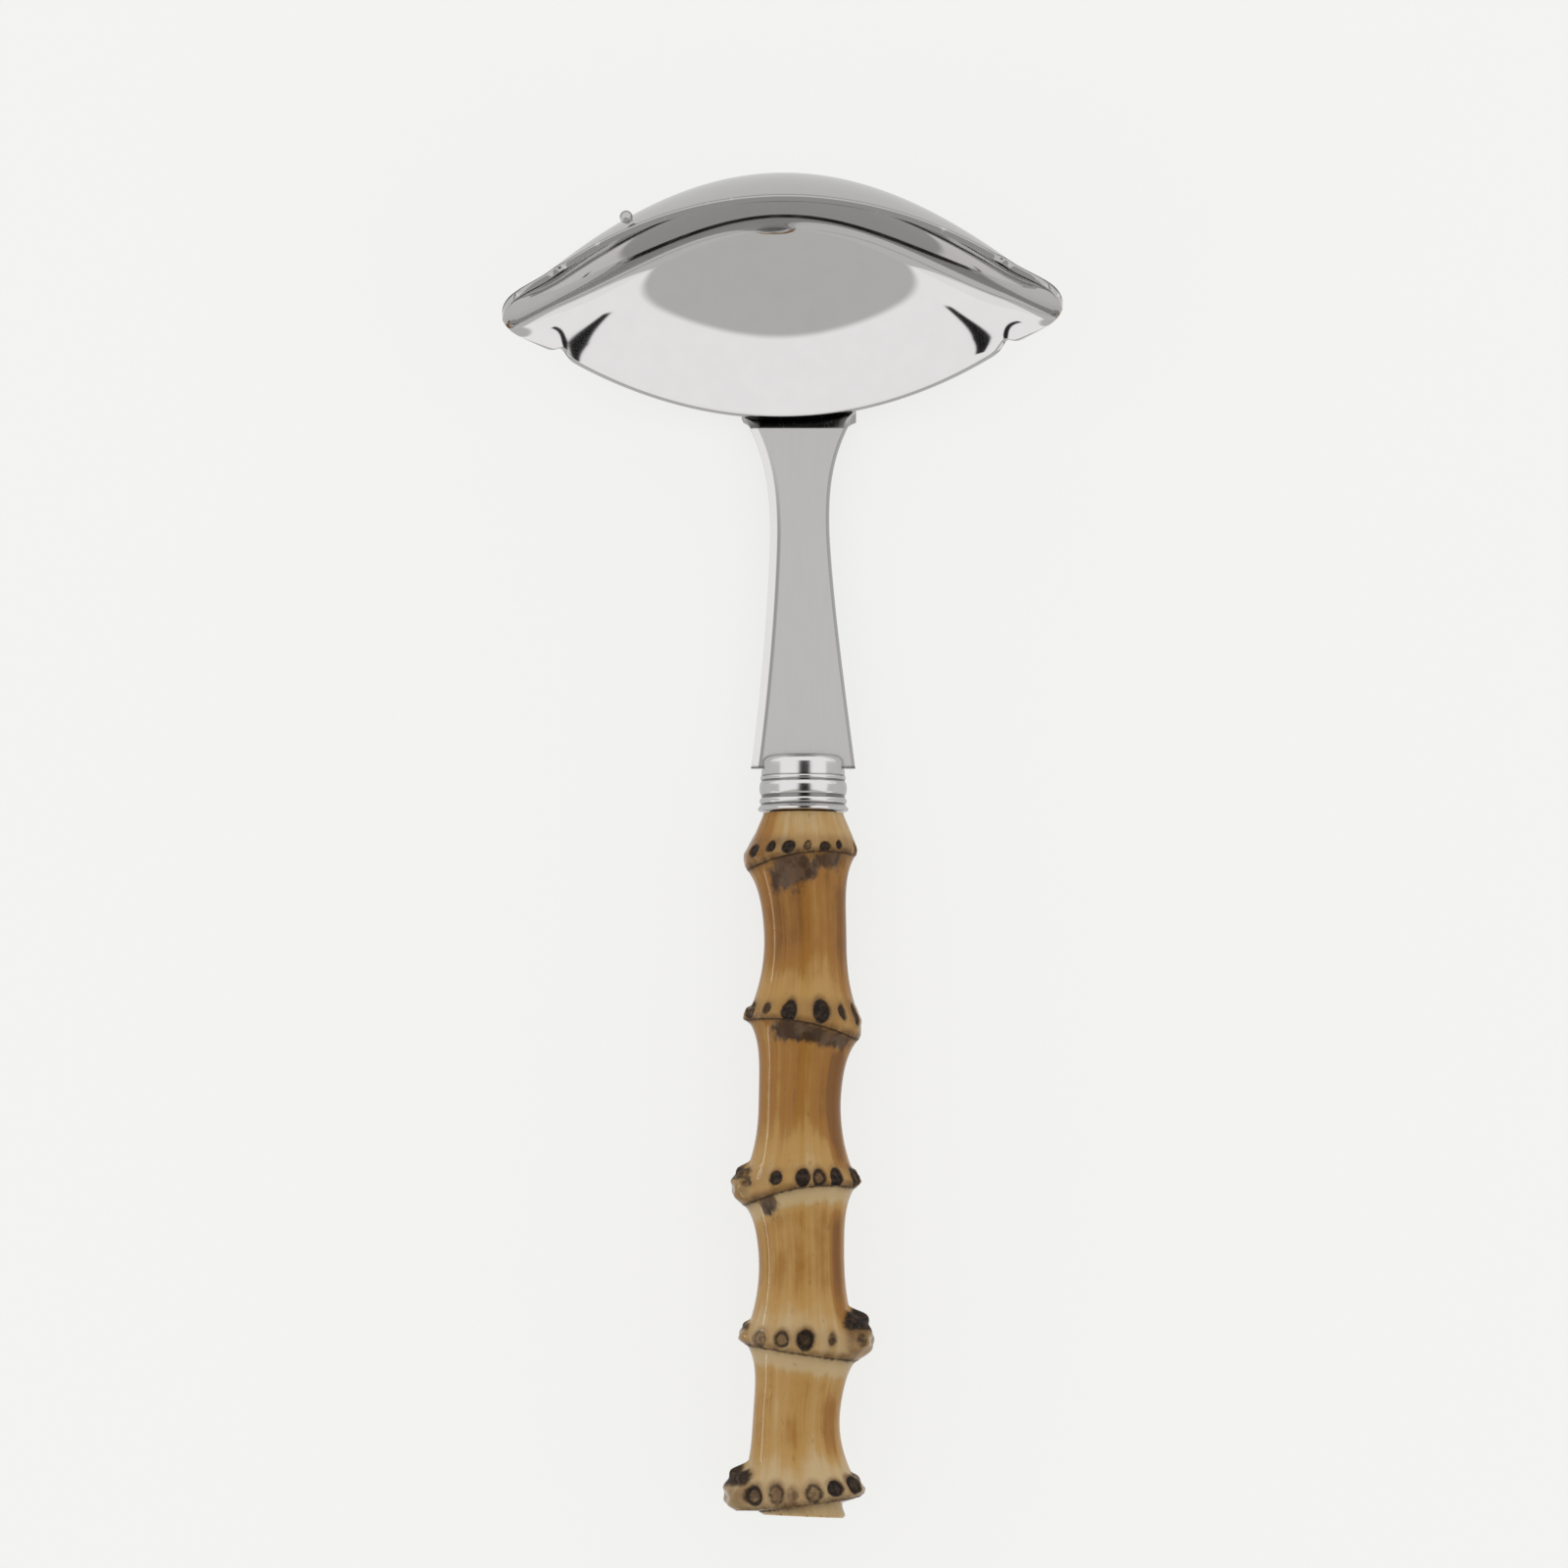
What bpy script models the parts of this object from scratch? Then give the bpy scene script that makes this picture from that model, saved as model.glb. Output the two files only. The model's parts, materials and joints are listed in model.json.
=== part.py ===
"""A gravy ladle. An oval steel bowl with two pouring lips is welded to the head of a flat steel neck. The
neck's tang runs through a turned steel ferrule and is cemented into a handle of bamboo root.

The ladle lies on its back. +Y runs from the butt of the handle to the bowl, +X is to the right seen from above
and +Z is up. The origin is on the surface that the ladle lies on, under the middle of its box.

Before it is laid down, the ladle is drawn about the handle's axis: y = 0 is the joint of ferrule and bamboo,
and z = 0 is the middle of the neck's thickness.
"""

import math
from collections import namedtuple
from functools import partial

import bmesh
import bpy
import numpy as np
from mathutils import Matrix, Vector

MM = 0.001
SHARP_EDGE = math.radians(35)

# Clearance between pieces that fit together
FIT_GAP = 0.3 * MM

# Bowl, measured outside: an almond in plan, an arc across, shallower towards its pouring lips
BOWL_HALF_LENGTH = 41.25 * MM
BOWL_HALF_WIDTH = 25.1 * MM
BOWL_DEPTH = 18.4 * MM
SECTION_ARC = math.radians(64)  # from the keel to either rim
PLAN_POINT = 0.91  # 0.5 would make the plan an ellipse, and 1 a pair of parabolas
KEEL_POINT = 1.3  # the same for the line of the keel from lip to lip
SHEET = 1.1 * MM
BOWL_TILT = math.radians(55.5)
BOWL_YAW = math.radians(1.7)
BOWL_SHIFT = -3.1 * MM
NEAR_RIM_REACH = 58.65 * MM
BOWL_STATIONS = 60
BOWL_STEPS = 20
NUDGE = 0.05 * MM  # steps by which the direction square to the bowl is measured
NUDGE_TURN = math.radians(0.1)

# Lips: a round nose at each end of the bowl, with a notch cut into the rim on either side of it
LIP_HALF_WIDTH = 7.2 * MM
LIP_ROUND = 8.0 * MM
LIP_BLEND = 3.0 * MM
NOTCH_IN = 8.0 * MM  # from the tip of a lip to the notch beside it
NOTCH_RUN = 1.0 * MM
NOTCH_CUT = math.radians(7)

# Neck: a flat blade with a narrow waist, its head bent back along the bowl
NECK_THICKNESS = 2.2 * MM
SHOULDER_HALF_WIDTH = 7.75 * MM
WAIST_HALF_WIDTH = 4.42 * MM
HEAD_HALF_WIDTH = 7.2 * MM
SHOULDER_REACH = 6.4 * MM
WAIST_REACH = 42.0 * MM
BEND_LEAD = 1.6 * MM
BEND_DROP = 2.2 * MM  # from the neck's face down to the bowl's near rim
NECK_LEAN = -0.65 * MM
BEVEL_LEFT = 1.2 * MM
BEVEL_RIGHT = 0.5 * MM
BEVEL_BACK = 0.4 * MM
BEVEL_DROP = 0.7 * MM
SHOULDER_FLARE = 1.4
HEAD_FLARE = 2.6
TONGUE_LENGTH = math.radians(38)
TONGUE_HALF_WIDTH = 8.4 * MM
TONGUE_END_THICKNESS = 1.2 * MM
TONGUE_END_HALF_WIDTH = 2.5 * MM
FACE_POINTS = 9
BLADE_SECTIONS = 20
TONGUE_SECTIONS = 8

# Tang: the narrow end of the neck inside the handle
TANG_WIDTH = 4.0 * MM
TANG_THICKNESS = 1.8 * MM
TANG_DEPTH = 46.0 * MM
RESIN_WALL = 0.5 * MM

# Ferrule: a turned collar, its beads given as height above the plain body
FERRULE_HEIGHT = 8.4 * MM
FERRULE_WALL = 1.2 * MM
WEB = 2.0 * MM
CROWN_ROUND = 1.3 * MM
FLANGE_HEIGHT = 0.6 * MM
FLANGE_PROUD = 0.5 * MM
RING_HEIGHT = 0.9 * MM
RING_PROUD = 0.28 * MM
BEAD_HEIGHT = 2.0 * MM
BEAD_PROUD = 0.3 * MM
FINE_BEAD_HEIGHT = 0.6 * MM
FINE_BEAD_PROUD = 0.14 * MM
GROOVE = 0.45 * MM
FERRULE_SIDES = 48
CROWN_STEPS = 4

# Handle: bamboo root with five nodes, a tenon for the ferrule and a bore for the tang
TENON_RADIUS = 4.7 * MM
TOP_RADIUS = 6.0 * MM
RIDGE_STEP = 0.45 * MM
BUTT_LENGTH = 2.0 * MM
BUTT_RADIUS = 6.3 * MM
BUTT_SLANT = math.radians(2.5)
BUTT_EDGE = 0.4 * MM
BUTT_SWEEP = 0.35  # share of the way from the last ridge to the butt that the stem takes to draw in
STEM_SIDES = 32

# A stretch of stem ends in a node: its length, the radius of its waist, the shares of its length where it
# starts and stops swelling, how late it swells, and how far its waist sways to the right
Stretch = namedtuple("Stretch", "length waist swell_from swell_to swell_power sway")
STRETCHES = (
    Stretch(7.1 * MM, 6.0 * MM, 0.08, 0.90, 1.0, 0.0 * MM),
    Stretch(24.9 * MM, 6.1 * MM, 0.43, 0.96, 2.5, 0.3 * MM),
    Stretch(24.6 * MM, 6.0 * MM, 0.40, 0.93, 2.5, -0.5 * MM),
    Stretch(23.8 * MM, 6.3 * MM, 0.36, 0.89, 2.5, -0.2 * MM),
    Stretch(22.3 * MM, 6.35 * MM, 0.36, 0.89, 2.5, -1.1 * MM),
)
NARROWING = 0.12  # share of a stretch in which the step under the last ridge dies away
RING_SHARES = (0.0, 0.04, 0.1, 0.18, 0.3, 0.45, 0.6, 0.7, 0.78, 0.86, 0.93, 1.0)

# The node at the foot of each stretch: the radius of its ridge, how much lower the ridge's left end lies than
# its right, and how far the stem sways to the right there
Node = namedtuple("Node", "radius lean sway")
NODES = (
    Node(8.5 * MM, 1.8 * MM, -0.3 * MM),
    Node(8.6 * MM, -2.6 * MM, 0.0 * MM),
    Node(8.6 * MM, 2.2 * MM, -0.5 * MM),
    Node(8.5 * MM, -2.0 * MM, -0.3 * MM),
    Node(8.9 * MM, 1.6 * MM, -0.5 * MM),
)

# Root stubs that stand out beside a node: the node's number, bearing from the right, distance above the
# ridge, height and half sizes
Stub = namedtuple("Stub", "node bearing above height half_angle half_length")
STUBS = (
    Stub(1, math.radians(178), 1.8 * MM, 0.6 * MM, math.radians(18), 1.3 * MM),
    Stub(2, math.radians(176), 1.4 * MM, 1.4 * MM, math.radians(26), 3.0 * MM),
    Stub(2, math.radians(8), 2.2 * MM, 0.5 * MM, math.radians(18), 1.5 * MM),
    Stub(3, math.radians(12), 3.0 * MM, 2.3 * MM, math.radians(28), 3.7 * MM),
    Stub(3, math.radians(180), 3.2 * MM, 0.8 * MM, math.radians(20), 1.8 * MM),
    Stub(4, math.radians(174), 2.3 * MM, 2.2 * MM, math.radians(30), 3.8 * MM),
    Stub(4, math.radians(12), 2.9 * MM, 0.8 * MM, math.radians(22), 1.9 * MM),
)

# Stud: a small ball on a foot, on the back of the far wall
STUD_RADIUS = 0.95 * MM
STUD_FOOT_RADIUS = 0.6 * MM
STUD_FOOT_HEIGHT = 0.2 * MM
STUD_ALONG = -21.6 * MM
STUD_BELOW_RIM = math.radians(3.6)
STUD_SIDES = 16
STUD_RINGS = 8
STUD_CAP = math.radians(165)

# Sizes that follow from the ones above
NECK_TOP = NECK_THICKNESS / 2
NEAR_RIM_HEIGHT = NECK_TOP - BEND_DROP
BOWL_CENTRE = Vector((
    BOWL_SHIFT,
    NEAR_RIM_REACH + BOWL_HALF_WIDTH * math.cos(BOWL_TILT),
    NEAR_RIM_HEIGHT + BOWL_HALF_WIDTH * math.sin(BOWL_TILT),
))
BOWL_SEAT = (
    Matrix.Translation(BOWL_CENTRE)
    @ Matrix.Rotation(BOWL_TILT, 4, "X")
    @ Matrix.Rotation(BOWL_YAW, 4, "Z")
)
SOCKET_RADIUS = TENON_RADIUS + FIT_GAP
FERRULE_RADIUS = SOCKET_RADIUS + FERRULE_WALL
SOCKET_DEPTH = SHOULDER_REACH - FIT_GAP - WEB
POCKET_WIDTH = TANG_WIDTH + 2 * FIT_GAP
POCKET_THICKNESS = TANG_THICKNESS + 2 * FIT_GAP
RESIN_RADIUS = math.hypot(POCKET_WIDTH, POCKET_THICKNESS) / 2 + RESIN_WALL
BORE_RADIUS = RESIN_RADIUS + FIT_GAP
TENON_TOP = SOCKET_DEPTH - FIT_GAP
RESIN_BOTTOM = -(TANG_DEPTH + FIT_GAP + RESIN_WALL)
BORE_BOTTOM = RESIN_BOTTOM - FIT_GAP
NODE_DEPTHS = [sum(stretch.length for stretch in STRETCHES[:i + 1]) for i in range(len(STRETCHES))]
HANDLE_LENGTH = NODE_DEPTHS[-1] + BUTT_LENGTH
BEND_REACH = NEAR_RIM_REACH - BEND_LEAD


def clear_scene():
    for thing in list(bpy.data.objects):
        bpy.data.objects.remove(thing, do_unlink=True)


def make_material(name, colour, roughness, metallic):
    material = bpy.data.materials.new(name)
    material.use_nodes = True
    shader = material.node_tree.nodes["Principled BSDF"]
    shader.inputs["Base Color"].default_value = (*colour, 1.0)
    shader.inputs["Roughness"].default_value = roughness
    shader.inputs["Metallic"].default_value = metallic
    return material


def add_object(name, mesh, parent, material=None):
    thing = bpy.data.objects.new(name, mesh)
    bpy.context.collection.objects.link(thing)
    thing.parent = parent
    if material:
        mesh.materials.append(material)
        mesh.shade_smooth()
        mesh.set_sharp_from_angle(angle=SHARP_EDGE)
    return thing


def add_empty(name, parent=None):
    empty = bpy.data.objects.new(name, None)
    bpy.context.collection.objects.link(empty)
    empty.parent = parent
    return empty


def loft(name, rings):
    """A closed mesh through rings of equal length, with a flat cap on the first and the last."""
    work = bmesh.new()
    loops = [[work.verts.new(point) for point in ring] for ring in rings]
    count = len(rings[0])
    for lower, upper in zip(loops, loops[1:]):
        for i in range(count):
            j = (i + 1) % count
            work.faces.new((lower[i], lower[j], upper[j], upper[i]))
    work.faces.new(loops[0])
    work.faces.new(loops[-1])
    bmesh.ops.recalc_face_normals(work, faces=work.faces)
    mesh = bpy.data.meshes.new(name)
    work.to_mesh(mesh)
    work.free()
    return mesh


def circle(radius, y, sides):
    angles = [math.tau * i / sides for i in range(sides)]
    return [(radius * math.cos(angle), y, radius * math.sin(angle)) for angle in angles]


def smooth_step(value):
    value = min(max(value, 0.0), 1.0)
    return value * value * (3 - 2 * value)


def blend_by(points, at):
    """The value at a place between listed places, eased from each to the next."""
    for (place, value), (next_place, next_value) in zip(points, points[1:]):
        if at <= next_place:
            return value + (next_value - value) * smooth_step((at - place) / (next_place - place))
    return points[-1][1]


def cut(target, name, size, centre):
    """Cuts a box out of the target with a Boolean."""
    work = bmesh.new()
    bmesh.ops.create_cube(work, size=1.0)
    bmesh.ops.scale(work, verts=work.verts, vec=size)
    bmesh.ops.translate(work, verts=work.verts, vec=centre)
    mesh = bpy.data.meshes.new(name)
    work.to_mesh(mesh)
    work.free()
    cutter = add_object(name, mesh, target.parent)
    cutter.hide_render = True
    cutter.display_type = "WIRE"
    modifier = target.modifiers.new(name, "BOOLEAN")
    modifier.operation = "DIFFERENCE"
    modifier.solver = "EXACT"
    modifier.object = cutter


# Bowl

def fullness(x):
    """1 at the middle of the bowl's length, 0 at the tip of a lip."""
    return max(1 - (x / BOWL_HALF_LENGTH) ** 2, 0.0)


def half_width(x):
    """Half the width of the bowl at x along it: an almond, or the round lip where that is wider."""
    almond = BOWL_HALF_WIDTH * fullness(x) ** PLAN_POINT
    into_nose = min(max(1 - (BOWL_HALF_LENGTH - abs(x)) / LIP_ROUND, 0.0), 1.0)
    nose = math.sqrt(1 - into_nose ** 2)
    lip = LIP_HALF_WIDTH * nose
    blend = LIP_BLEND * nose
    near = max(blend - abs(almond - lip), 0.0)
    fillet = near ** 2 / (4 * blend) if near else 0.0
    return max(almond, lip) + fillet


def rim_slope(x):
    """How far along the arc from the keel the rim lies: less in the notch beside each lip."""
    off_notch = (BOWL_HALF_LENGTH - abs(x) - NOTCH_IN) / NOTCH_RUN
    return SECTION_ARC - NOTCH_CUT * math.exp(-off_notch ** 2)


def bowl_point(x, slope):
    """A point of the bowl's outside, at x along the bowl. Slope is the way along the arc across,
    from the near rim, where it is negative, through 0 at the keel to the far rim."""
    depth = BOWL_DEPTH * fullness(x) ** KEEL_POINT
    sag = (math.cos(slope) - math.cos(SECTION_ARC)) / (1 - math.cos(SECTION_ARC))
    return Vector((x, half_width(x) * math.sin(slope) / math.sin(SECTION_ARC), -depth * sag))


def outward(x, slope):
    """The direction square to the bowl's outside."""
    along = bowl_point(x + NUDGE, slope) - bowl_point(x - NUDGE, slope)
    across = bowl_point(x, slope + NUDGE_TURN) - bowl_point(x, slope - NUDGE_TURN)
    return across.cross(along).normalized()


def make_bowl(seat, material):
    turns = [math.pi * i / BOWL_STATIONS - math.pi / 2 for i in range(1, BOWL_STATIONS)]
    shares = [2 * i / BOWL_STEPS - 1 for i in range(BOWL_STEPS + 1)]
    work = bmesh.new()
    rows = []
    for turn in turns:
        x = BOWL_HALF_LENGTH * math.sin(turn)
        rows.append([work.verts.new(bowl_point(x, rim_slope(x) * share)) for share in shares])
    left = work.verts.new((-BOWL_HALF_LENGTH, 0, 0))
    right = work.verts.new((BOWL_HALF_LENGTH, 0, 0))
    for i in range(BOWL_STEPS):
        work.faces.new((left, rows[0][i + 1], rows[0][i]))
        work.faces.new((right, rows[-1][i], rows[-1][i + 1]))
        for row, following in zip(rows, rows[1:]):
            work.faces.new((row[i], row[i + 1], following[i + 1], following[i]))
    mesh = bpy.data.meshes.new("bowl")
    work.to_mesh(mesh)
    work.free()
    bowl = add_object("bowl", mesh, seat, material)
    sheet = bowl.modifiers.new("sheet", "SOLIDIFY")
    sheet.thickness = SHEET
    sheet.offset = -1
    sheet.use_even_offset = True


# Neck

def section(centre_x, half_width, thickness, y, left, right):
    """The neck's cross-section: face, right side, back, left side. Left and right are the face's bevels."""
    top = thickness / 2
    drop = min(BEVEL_DROP, top)
    back = min(BEVEL_BACK, half_width / 4)
    face_x = np.linspace(-half_width + left, half_width - right, FACE_POINTS)
    back_x = np.linspace(half_width - back, -half_width + back, FACE_POINTS)
    ring = [(centre_x + x, y, top) for x in face_x]
    ring += [(centre_x + half_width, y, top - drop), (centre_x + half_width, y, back - top)]
    ring += [(centre_x + x, y, -top) for x in back_x]
    ring += [(centre_x - half_width, y, back - top), (centre_x - half_width, y, top - drop)]
    return ring


def blade_half_width(y):
    if y < WAIST_REACH:
        share = (WAIST_REACH - y) / (WAIST_REACH - SHOULDER_REACH)
        return WAIST_HALF_WIDTH + (SHOULDER_HALF_WIDTH - WAIST_HALF_WIDTH) * share ** SHOULDER_FLARE
    share = (y - WAIST_REACH) / (BEND_REACH - WAIST_REACH)
    return WAIST_HALF_WIDTH + (HEAD_HALF_WIDTH - WAIST_HALF_WIDTH) * share ** HEAD_FLARE


def blade_centre(y):
    return NECK_LEAN * smooth_step((y - SHOULDER_REACH) / (BEND_REACH - SHOULDER_REACH))


def near_wall(x, slope, lift):
    """A point of the near wall in the ladle's frame, at x along the bowl, lifted off its outside."""
    return BOWL_SEAT @ (bowl_point(x, -slope) + outward(x, -slope) * lift)


def tongue_section(slope):
    """The head of the neck where it lies along the bowl, in the order of section(). Its face follows the bowl,
    and its back is flat across."""
    share = (SECTION_ARC - slope) / TONGUE_LENGTH
    rounded = math.sqrt(max(1 - share ** 2, 0.0))
    half = TONGUE_END_HALF_WIDTH + (TONGUE_HALF_WIDTH - TONGUE_END_HALF_WIDTH) * rounded
    thickness = NECK_THICKNESS + (TONGUE_END_THICKNESS - NECK_THICKNESS) * share
    middle = NECK_LEAN - BOWL_SHIFT - BOWL_HALF_WIDTH * math.sin(BOWL_YAW)
    back = near_wall(middle, slope, FIT_GAP + thickness)
    side = near_wall(middle, slope, FIT_GAP + thickness - BEVEL_BACK)
    across = np.linspace(BEVEL_BACK - half, half - BEVEL_BACK, FACE_POINTS)
    ring = [near_wall(middle + x, slope, FIT_GAP) for x in across]
    ring += [near_wall(middle + half, slope, FIT_GAP + BEVEL_BACK), side + Vector((half, 0, 0))]
    ring += [back - Vector((x, 0, 0)) for x in across]
    ring += [side - Vector((half, 0, 0)), near_wall(middle - half, slope, FIT_GAP + BEVEL_BACK)]
    return ring


def make_neck(ladle, material):
    half_tang = TANG_WIDTH / 2
    rings = []
    for y in (-TANG_DEPTH, SHOULDER_REACH):
        rings.append(section(0, half_tang, TANG_THICKNESS, y, BEVEL_BACK, BEVEL_BACK))
    for y in np.linspace(SHOULDER_REACH, BEND_REACH, BLADE_SECTIONS):
        rings.append(section(blade_centre(y), blade_half_width(y), NECK_THICKNESS, y, BEVEL_LEFT, BEVEL_RIGHT))
    for slope in np.linspace(SECTION_ARC, SECTION_ARC - TONGUE_LENGTH, TONGUE_SECTIONS):
        rings.append(tongue_section(slope))
    add_object("neck", loft("neck", rings), ladle, material)


# Ferrule

def bulge(low, height, proud, steps):
    """Part of a turned profile: a half-round bead that stands proud of the ferrule's body."""
    points = []
    for i in range(steps + 1):
        turn = math.pi * i / steps
        points.append((FERRULE_RADIUS + proud * math.sin(turn), low + height * (1 - math.cos(turn)) / 2))
    return points


def ferrule_profile():
    """Radius and height, from the socket's roof round the outside to the crown."""
    ring_low = FLANGE_HEIGHT + GROOVE
    bead_low = ring_low + RING_HEIGHT + GROOVE
    fine_low = bead_low + BEAD_HEIGHT + GROOVE / 2
    profile = [
        (SOCKET_RADIUS, SOCKET_DEPTH),
        (SOCKET_RADIUS, 0.0),
        (FERRULE_RADIUS + FLANGE_PROUD, 0.0),
        (FERRULE_RADIUS + FLANGE_PROUD, FLANGE_HEIGHT),
    ]
    profile += bulge(ring_low, RING_HEIGHT, RING_PROUD, 4)
    profile += bulge(bead_low, BEAD_HEIGHT, BEAD_PROUD, 6)
    profile += bulge(fine_low, FINE_BEAD_HEIGHT, FINE_BEAD_PROUD, 3)
    for i in range(CROWN_STEPS + 1):
        turn = math.pi / 2 * i / CROWN_STEPS
        radius = FERRULE_RADIUS - CROWN_ROUND * (1 - math.cos(turn))
        profile.append((radius, FERRULE_HEIGHT - CROWN_ROUND * (1 - math.sin(turn))))
    return profile


def make_ferrule(ladle, material):
    rings = [circle(radius, y, FERRULE_SIDES) for radius, y in ferrule_profile()]
    ferrule = add_object("ferrule", loft("ferrule", rings), ladle, material)
    through = 3 * FERRULE_RADIUS
    floor = SHOULDER_REACH - FIT_GAP
    slot_size = (through, through, NECK_THICKNESS + 2 * FIT_GAP)
    cut(ferrule, "shoulder_slot", slot_size, (0, floor + through / 2, 0))
    cut(ferrule, "tang_slot", (POCKET_WIDTH, through, POCKET_THICKNESS), (0, floor, 0))


# Handle

def ridge_line(index, angle):
    """Height of a node's ridge at a bearing round the stem. Index -1 is the top of the bamboo."""
    if index < 0:
        return -FIT_GAP
    return -NODE_DEPTHS[index] + NODES[index].lean / 2 * math.cos(angle)


def butt_line(angle):
    """Height of the flat butt at a bearing round its edge."""
    return -HANDLE_LENGTH + BUTT_RADIUS * (1 - math.cos(angle)) * math.tan(BUTT_SLANT)


def stem_sway(y):
    points = [(0.0, 0.0)]
    for depth, stretch, node in zip(NODE_DEPTHS, STRETCHES, NODES):
        points.append((depth - stretch.length / 2, stretch.sway))
        points.append((depth, node.sway))
    points.append((HANDLE_LENGTH, 0.0))
    return blend_by(points, -y)


def swollen(index, y):
    """Radius of a stretch at a height, without the step under the ridge above it."""
    stretch = STRETCHES[index]
    level = (-y - NODE_DEPTHS[index] + stretch.length) / stretch.length
    way = min(max((level - stretch.swell_from) / (stretch.swell_to - stretch.swell_from), 0.0), 1.0)
    return stretch.waist + (NODES[index].radius - stretch.waist) * way ** stretch.swell_power


def under_ridge(index, angle):
    """Radius just under a node's ridge, or at the top of the bamboo."""
    if index < 0:
        return TOP_RADIUS
    return swollen(index, ridge_line(index, angle)) - RIDGE_STEP


def stretch_radius(index, share, y, angle):
    """Radius of the stem above a node, by the share of the way from the last ridge to this one."""
    step = under_ridge(index - 1, angle) - STRETCHES[index].waist
    return swollen(index, y) + step * math.exp(-share / NARROWING)


def last_step(y, angle):
    return under_ridge(len(NODES) - 1, angle)


def near_butt(y, angle):
    return BUTT_RADIUS + RIDGE_STEP


def stub_height(y, angle):
    total = 0.0
    for stub in STUBS:
        turn = math.remainder(angle - stub.bearing, math.tau) / stub.half_angle
        along = (y + NODE_DEPTHS[stub.node] - stub.above) / stub.half_length
        total += stub.height * math.exp(-turn ** 2) * math.exp(-along ** 4)
    return total


def stem_ring(upper, lower, share, radius):
    """A ring round the stem, part of the way between two lines that may lean. They give height by bearing,
    and radius gives the stem's by height and bearing."""
    ring = []
    for i in range(STEM_SIDES):
        angle = math.tau * i / STEM_SIDES
        y = upper(angle) + (lower(angle) - upper(angle)) * share
        out = radius(y, angle) + stub_height(y, angle)
        ring.append((stem_sway(y) + out * math.cos(angle), y, out * math.sin(angle)))
    return ring


def butt_ring(radius, rise):
    """A flat ring at the butt, or above it by rise."""
    ring = []
    for x, _, z in circle(radius, 0.0, STEM_SIDES):
        ring.append((x, -HANDLE_LENGTH + rise + (BUTT_RADIUS - x) * math.tan(BUTT_SLANT), z))
    return ring


def make_handle(ladle, material):
    rings = [circle(BORE_RADIUS, BORE_BOTTOM, STEM_SIDES), circle(BORE_RADIUS, TENON_TOP, STEM_SIDES)]
    rings += [circle(TENON_RADIUS, TENON_TOP, STEM_SIDES), circle(TENON_RADIUS, -FIT_GAP, STEM_SIDES)]
    for index in range(len(NODES)):
        upper = partial(ridge_line, index - 1)
        lower = partial(ridge_line, index)
        for share in RING_SHARES:
            rings.append(stem_ring(upper, lower, share, partial(stretch_radius, index, share)))
    rings.append(stem_ring(lower, butt_line, 0.0, last_step))
    rings.append(stem_ring(lower, butt_line, BUTT_SWEEP, near_butt))
    rings.append(butt_ring(BUTT_RADIUS, BUTT_EDGE))
    rings.append(butt_ring(BUTT_RADIUS - BUTT_EDGE, 0.0))
    add_object("handle", loft("handle", rings), ladle, material)


def make_resin(ladle, material):
    rings = [circle(RESIN_RADIUS, y, STEM_SIDES) for y in (RESIN_BOTTOM, TENON_TOP - FIT_GAP)]
    resin = add_object("tang_resin", loft("tang_resin", rings), ladle, material)
    length = TANG_DEPTH + FIT_GAP
    cut(resin, "tang_pocket", (POCKET_WIDTH, 2 * length, POCKET_THICKNESS), (0, 0, 0))


# Stud

def make_stud(seat, material):
    slope = SECTION_ARC - STUD_BELOW_RIM
    neck_turn = math.asin(STUD_FOOT_RADIUS / STUD_RADIUS)
    ball_centre = FIT_GAP + STUD_FOOT_HEIGHT + STUD_RADIUS * math.cos(neck_turn)
    rings = [circle(STUD_FOOT_RADIUS, FIT_GAP, STUD_SIDES)]
    for turn in np.linspace(neck_turn, STUD_CAP, STUD_RINGS):
        height = ball_centre - STUD_RADIUS * math.cos(turn)
        rings.append(circle(STUD_RADIUS * math.sin(turn), height, STUD_SIDES))
    stud = add_object("back_stud", loft("back_stud", rings), seat, material)
    stud.location = bowl_point(STUD_ALONG, slope)
    stud.rotation_mode = "QUATERNION"
    stud.rotation_quaternion = outward(STUD_ALONG, slope).to_track_quat("Y", "Z")


# Rest

def all_points():
    """Every corner of the finished pieces, in the ladle's place at the time."""
    graph = bpy.context.evaluated_depsgraph_get()
    graph.update()
    points = []
    for thing in bpy.data.objects:
        if thing.type == "MESH" and not thing.hide_render:
            finished = thing.evaluated_get(graph)
            points += [tuple(finished.matrix_world @ vertex.co) for vertex in finished.data.vertices]
    return np.array(points)


def lay_on_back(ladle):
    """Pitches the ladle until bowl and butt both touch the surface, and puts the origin under its middle."""
    points = all_points()
    front = points[:, 1] > WAIST_REACH

    def heights(pitch):
        return points[:, 1] * math.sin(pitch) + points[:, 2] * math.cos(pitch)

    low = math.radians(-20)
    high = math.radians(20)
    for _ in range(60):
        pitch = (low + high) / 2
        level = heights(pitch)
        if level[front].min() > level[~front].min():
            high = pitch
        else:
            low = pitch
    ladle.rotation_euler.x = pitch
    laid = all_points()
    middle = (laid.min(axis=0) + laid.max(axis=0)) / 2
    ladle.location = (-middle[0], -middle[1], -laid[:, 2].min())


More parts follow.
